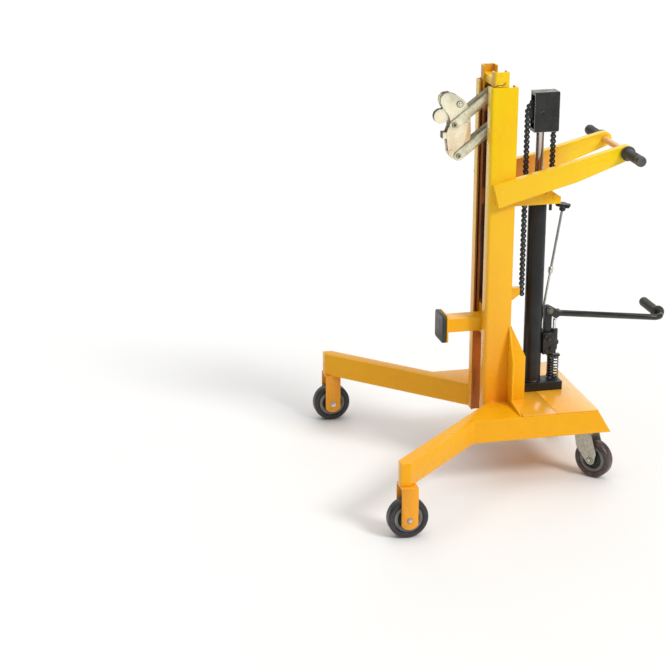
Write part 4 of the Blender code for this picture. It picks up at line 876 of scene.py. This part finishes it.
def add_link(bm, p, q, outer):
    d = q - p
    length = d.length
    heading = math.atan2(d.z, d.x)
    lo, hi = (0.0049, 0.0061) if outer else (0.0035, 0.0047)
    outline = link_outline(length, 0.0079, 0.0040)
    start = len(bm.verts)
    bm.verts.ensure_lookup_table()
    before = set(bm.verts)
    for s in (1, -1):
        plate(bm, outline, "y", *sorted((s * lo, s * hi)))
    if not outer:
        for cx in (0.0, length):
            plate(bm, circle(cx, 0.0, 0.0048, 14), "y", -0.0031, 0.0031)
    else:
        for cx in (0.0, length):
            plate(bm, circle(cx, 0.0, 0.0024, 12), "y", -0.0068, 0.0068, 0.0004)
    for f in bm.faces:
        if outer and abs(f.calc_center_median().y) > 0.0067 and not f.tag:
            f.material_index = 1
        f.tag = True
    fresh = [v for v in bm.verts if v not in before]
    bmesh.ops.rotate(bm, cent=(0, 0, 0), matrix=Matrix.Rotation(-heading, 3, "Y"), verts=fresh)
    bmesh.ops.translate(bm, vec=p, verts=fresh)


runs = {"front": bmesh.new(), "wrap": bmesh.new(), "rear": bmesh.new()}
for i in range(LINKS):
    p, q = chain_point(END + i * STEP), chain_point(END + (i + 1) * STEP)
    if max(p.z, q.z) < WRAP_LOW + 0.004:
        key = "front" if p.x > RAM_X else "rear"
    else:
        key = "wrap"
    add_link(runs[key], p, q, i % 2 == 0)
ob = finish_piece("chain_front_run_form", runs["front"], ("chain_steel", "pin_steel"), None, "chain_front_run", ride=False)
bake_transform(ob)
ob = finish_piece("chain_rear_run_form", runs["rear"], ("chain_steel", "pin_steel"), None, "chain_rear_run", ride=False)
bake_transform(ob)
finish_piece("chain_wrap_form", runs["wrap"], ("chain_steel", "pin_steel"), "ram", "chain_wrap")

# Release rod: plain steel rod, black ends and star knob
foot = Vector((DATUM - 0.1245, -0.0285, 0.4379))
head = Vector((DATUM - 0.1875, -0.0285, 0.843))
aim = (head - foot).normalized()
length = (head - foot).length
rod = [(0.0, 0.0), (0.0045, 0.0), (0.0045, 0.058), (0.0056, 0.061), (0.0060, 0.063), (0.0060, 0.071), (0.0054, 0.073),
       (0.0042, 0.075), (0.0042, 0.188), (0.0074, 0.190), (0.0084, 0.192), (0.0084, 0.206), (0.0074, 0.208),
       (0.0042, 0.211), (0.0042, length - 0.015), (0.0085, length - 0.013), (0.0105, length - 0.010),
       (0.0105, length - 0.0002), (0.0, length - 0.0002)]
bm = lathe(bmesh.new(), rod, (0, 0, 0), "z", 40, False)
for f in bm.faces:
    z = f.calc_center_median().z
    f.material_index = 1 if z < 0.061 or z > length - 0.0155 else (2 if z < 0.210 else 0)
star = []
for i in range(96):
    a = 2 * math.pi * i / 96
    r = 0.0225 + 0.0030 * math.cos(6 * a)
    star.append((r, a))
rings = []
for z, k in ((-0.0004, 0.90), (0.0008, 0.965), (0.0030, 1.0), (0.0082, 1.0), (0.0102, 0.965), (0.0110, 0.90), (0.0106, 0.55)):
    rings.append([bm.verts.new((k * r * math.cos(a), k * r * math.sin(a), length + z)) for r, a in star])
ring_faces(bm, rings)
for ring in (rings[0][::-1], rings[-1]):
    f = bm.faces.new(ring)
for f in bm.faces:
    if f.calc_center_median().z > length - 0.0005:
        f.material_index = 1
bmesh.ops.rotate(bm, cent=(0, 0, 0), matrix=Matrix.Rotation(math.atan2(aim.x, aim.z), 3, "Y"), verts=bm.verts)
bmesh.ops.translate(bm, vec=foot, verts=bm.verts)
finish_piece("release_rod_form", bm, ("rod_steel", "black_paint", "bolt_steel"), "release_valve_rod", "release_rod")

# Welds
bm = bmesh.new()
for s in (1, -1):
    y = s * (MAST_HALF_W + 0.0004)
    weld(bm, (DATUM + 0.0705, y, 0.889), (DATUM + 0.0865, y, 0.953), 0.0020)
    weld(bm, (DATUM + 0.086, y, 0.9585), (MAST_BACK + 0.001, y, 0.9745), 0.0018)
    weld(bm, (MAST_BACK + 0.003, y, BASE_TOP + 0.0006), (MAST_FRONT - 0.010, y, BASE_TOP + 0.0006), 0.0022)
    weld(bm, (MAST_BACK + 0.0005, s * 0.0870, BASE_TOP + 0.0006), (MAST_BACK + 0.0005, s * 0.222, BASE_TOP + 0.0006), 0.0018)
    weld(bm, (MAST_BACK - 0.0005, s * 0.0815, DECK_TOP + 0.0005), (DATUM - 0.040, s * 0.0815, DECK_TOP + 0.0005), 0.0018)
finish_piece("weld_beads", bm, "yellow_paint", "base_frame", smooth=60)

# Bolts on the cylinder bracket and the lever pivot
bm = bmesh.new()
for s in (1, -1):
    for x in (DATUM - 0.104, DATUM - 0.130):
        hex_head(bm, (x, s * 0.0532, 0.903 if x < DATUM - 0.12 else 0.908), "y", s, 0.010, 0.004, 0.0075)
finish_piece("bracket_bolts", bm, "yellow_paint", "base_frame")
bm = bmesh.new()
for s in (1, -1):
    hex_head(bm, (LEVER_X, s * 0.0160, LEVER_Z), "y", s, 0.015, 0.0050, 0.0115)
finish_piece("lever_pivot_heads", bm, "olive_fitting", "base_frame")

# Pin ends of the grab and the studs of the carriage
UP_X, UP_Z, LOW_X, LOW_Z = DATUM + 0.0696, 1.2309, DATUM + 0.0536, 1.1329
TURN_X, TURN_Z = 0.123, -0.095
bm = bmesh.new()
for s in (1, -1):
    # Dark steps (material 1): painted shadow round the pin end.
    rings = ((0.0108, 0.0, 0.0007, 1), (0.0088, 0.0006, 0.0022, 0), (0.0052, 0.0020, 0.0028, 1), (0.0040, 0.0024, 0.0052, 0))
    ring_stack(bm, (UP_X + 0.106, s * 0.0170, UP_Z - 0.031), "y", s, rings)
finish_piece("jaw_pin_ends", bm, ("zinc_plate", "zinc_edge"), NODES["gripper_head"]["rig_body"])
for name, x, z in (("upper_link", UP_X + TURN_X, UP_Z + TURN_Z), ("lower_link", LOW_X + TURN_X, LOW_Z + TURN_Z)):
    bm = bmesh.new()
    for s in (1, -1):
        # Dark steps (material 1): painted shadow round the pin ends.
        rings = ((0.0080, 0.0, 0.0006, 1), (0.0066, 0.0005, 0.0016, 0), (0.0048, 0.0015, 0.0022, 1))
        ring_stack(bm, (x, s * 0.0215, z), "y", s, rings)
    finish_piece(name + "_rings", bm, ("zinc_plate", "zinc_edge"), NODES[name]["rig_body"])
bm = bmesh.new()
for s in (1, -1):
    rings = ((0.0086, 0.0002, 0.0010, 0), (0.0066, 0.0009, 0.0013, 0))
    ring_stack(bm, (DATUM + 0.069, s * INNER_HALF_W, 1.267), "y", s, rings)
    y = s * (INNER_HALF_W + 0.0015)
    tail = [(DATUM + 0.0830, y, 1.2590), (DATUM + 0.0790, y, 1.2630), (DATUM + 0.0700, y, 1.2655), (DATUM + 0.0600, y, 1.2650),
            (DATUM + 0.0530, y, 1.2680), (DATUM + 0.0500, y, 1.2730)]
    old = set(bm.faces)
    tube(bm, tail, 0.0010, 8, up=Vector((0.0, 1.0, 0.0)))
    for f in bm.faces:
        if f not in old:
            f.material_index = 1
finish_piece("stud_clips", bm, ("yellow_paint", "zinc_edge"), NODES["carriage_top_tie"]["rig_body"])
bm = bmesh.new()
for s in (1, -1):
    hex_head(bm, (RAM_X, s * 0.0202, SPROCKET_Z), "y", s, 0.0125, 0.0030, 0.0)
finish_piece("spindle_heads", bm, "bare_black", "ram")

# Floor, lights, camera
bm = bmesh.new()
bmesh.ops.create_grid(bm, x_segments=2, y_segments=2, size=30.0)
me = bpy.data.meshes.new("studio_floor")
bm.to_mesh(me)
bm.free()
floor = bpy.data.objects.new("studio_floor", me)
floor.location = (0.0, 0.0, -0.0002)
bpy.context.scene.collection.objects.link(floor)
k = Look("floor_paper", 0.8)
me.materials.append(k.done(k.mix(k.noise(1.5, 2.0), (0.90, 0.90, 0.895), (0.92, 0.92, 0.915))))


def sun_light(name, aim_from, spread, power, colour=(1.0, 1.0, 1.0)):
    data = bpy.data.lights.new(name, "SUN")
    data.energy = power
    data.angle = math.radians(spread)
    data.color = colour
    ob = bpy.data.objects.new(name, data)
    ob.rotation_euler = Vector(aim_from).to_track_quat("Z", "Y").to_euler()
    bpy.context.scene.collection.objects.link(ob)


sun_light("overhead", (-0.05, 0.10, 1.0), 85.0, 1.50)
sun_light("backdrop", (-0.22, -0.92, 0.36), 64.0, 0.80)
sun_light("key", (-0.46, 0.61, 0.65), 16.0, 1.50, (1.0, 0.99, 0.965))
bpy.context.scene.view_settings.view_transform = "Standard"
world = bpy.data.worlds.new("studio")
bpy.context.scene.world = world
world.use_nodes = True
back = world.node_tree.nodes["Background"]
back.inputs["Color"].default_value = (1.0, 0.995, 0.985, 1.0)
back.inputs["Strength"].default_value = 0.25

data = bpy.data.cameras.new("camera")
data.sensor_width = 36.0
data.sensor_fit = "HORIZONTAL"
data.lens = 105.30
data.clip_start, data.clip_end = 0.1, 100.0
camera = bpy.data.objects.new("camera", data)
right = Vector((-0.973375, 0.229205, 0.002435))
up = Vector((-0.071651, -0.314339, 0.946603))
view = Vector((-0.217731, -0.921225, -0.322393))
pose = Matrix((right, up, -view)).transposed().to_4x4()
pose.translation = Vector((1.89977 + DATUM, 5.62511, 2.45523))
camera.matrix_world = pose
bpy.context.scene.collection.objects.link(camera)
bpy.context.scene.camera = camera
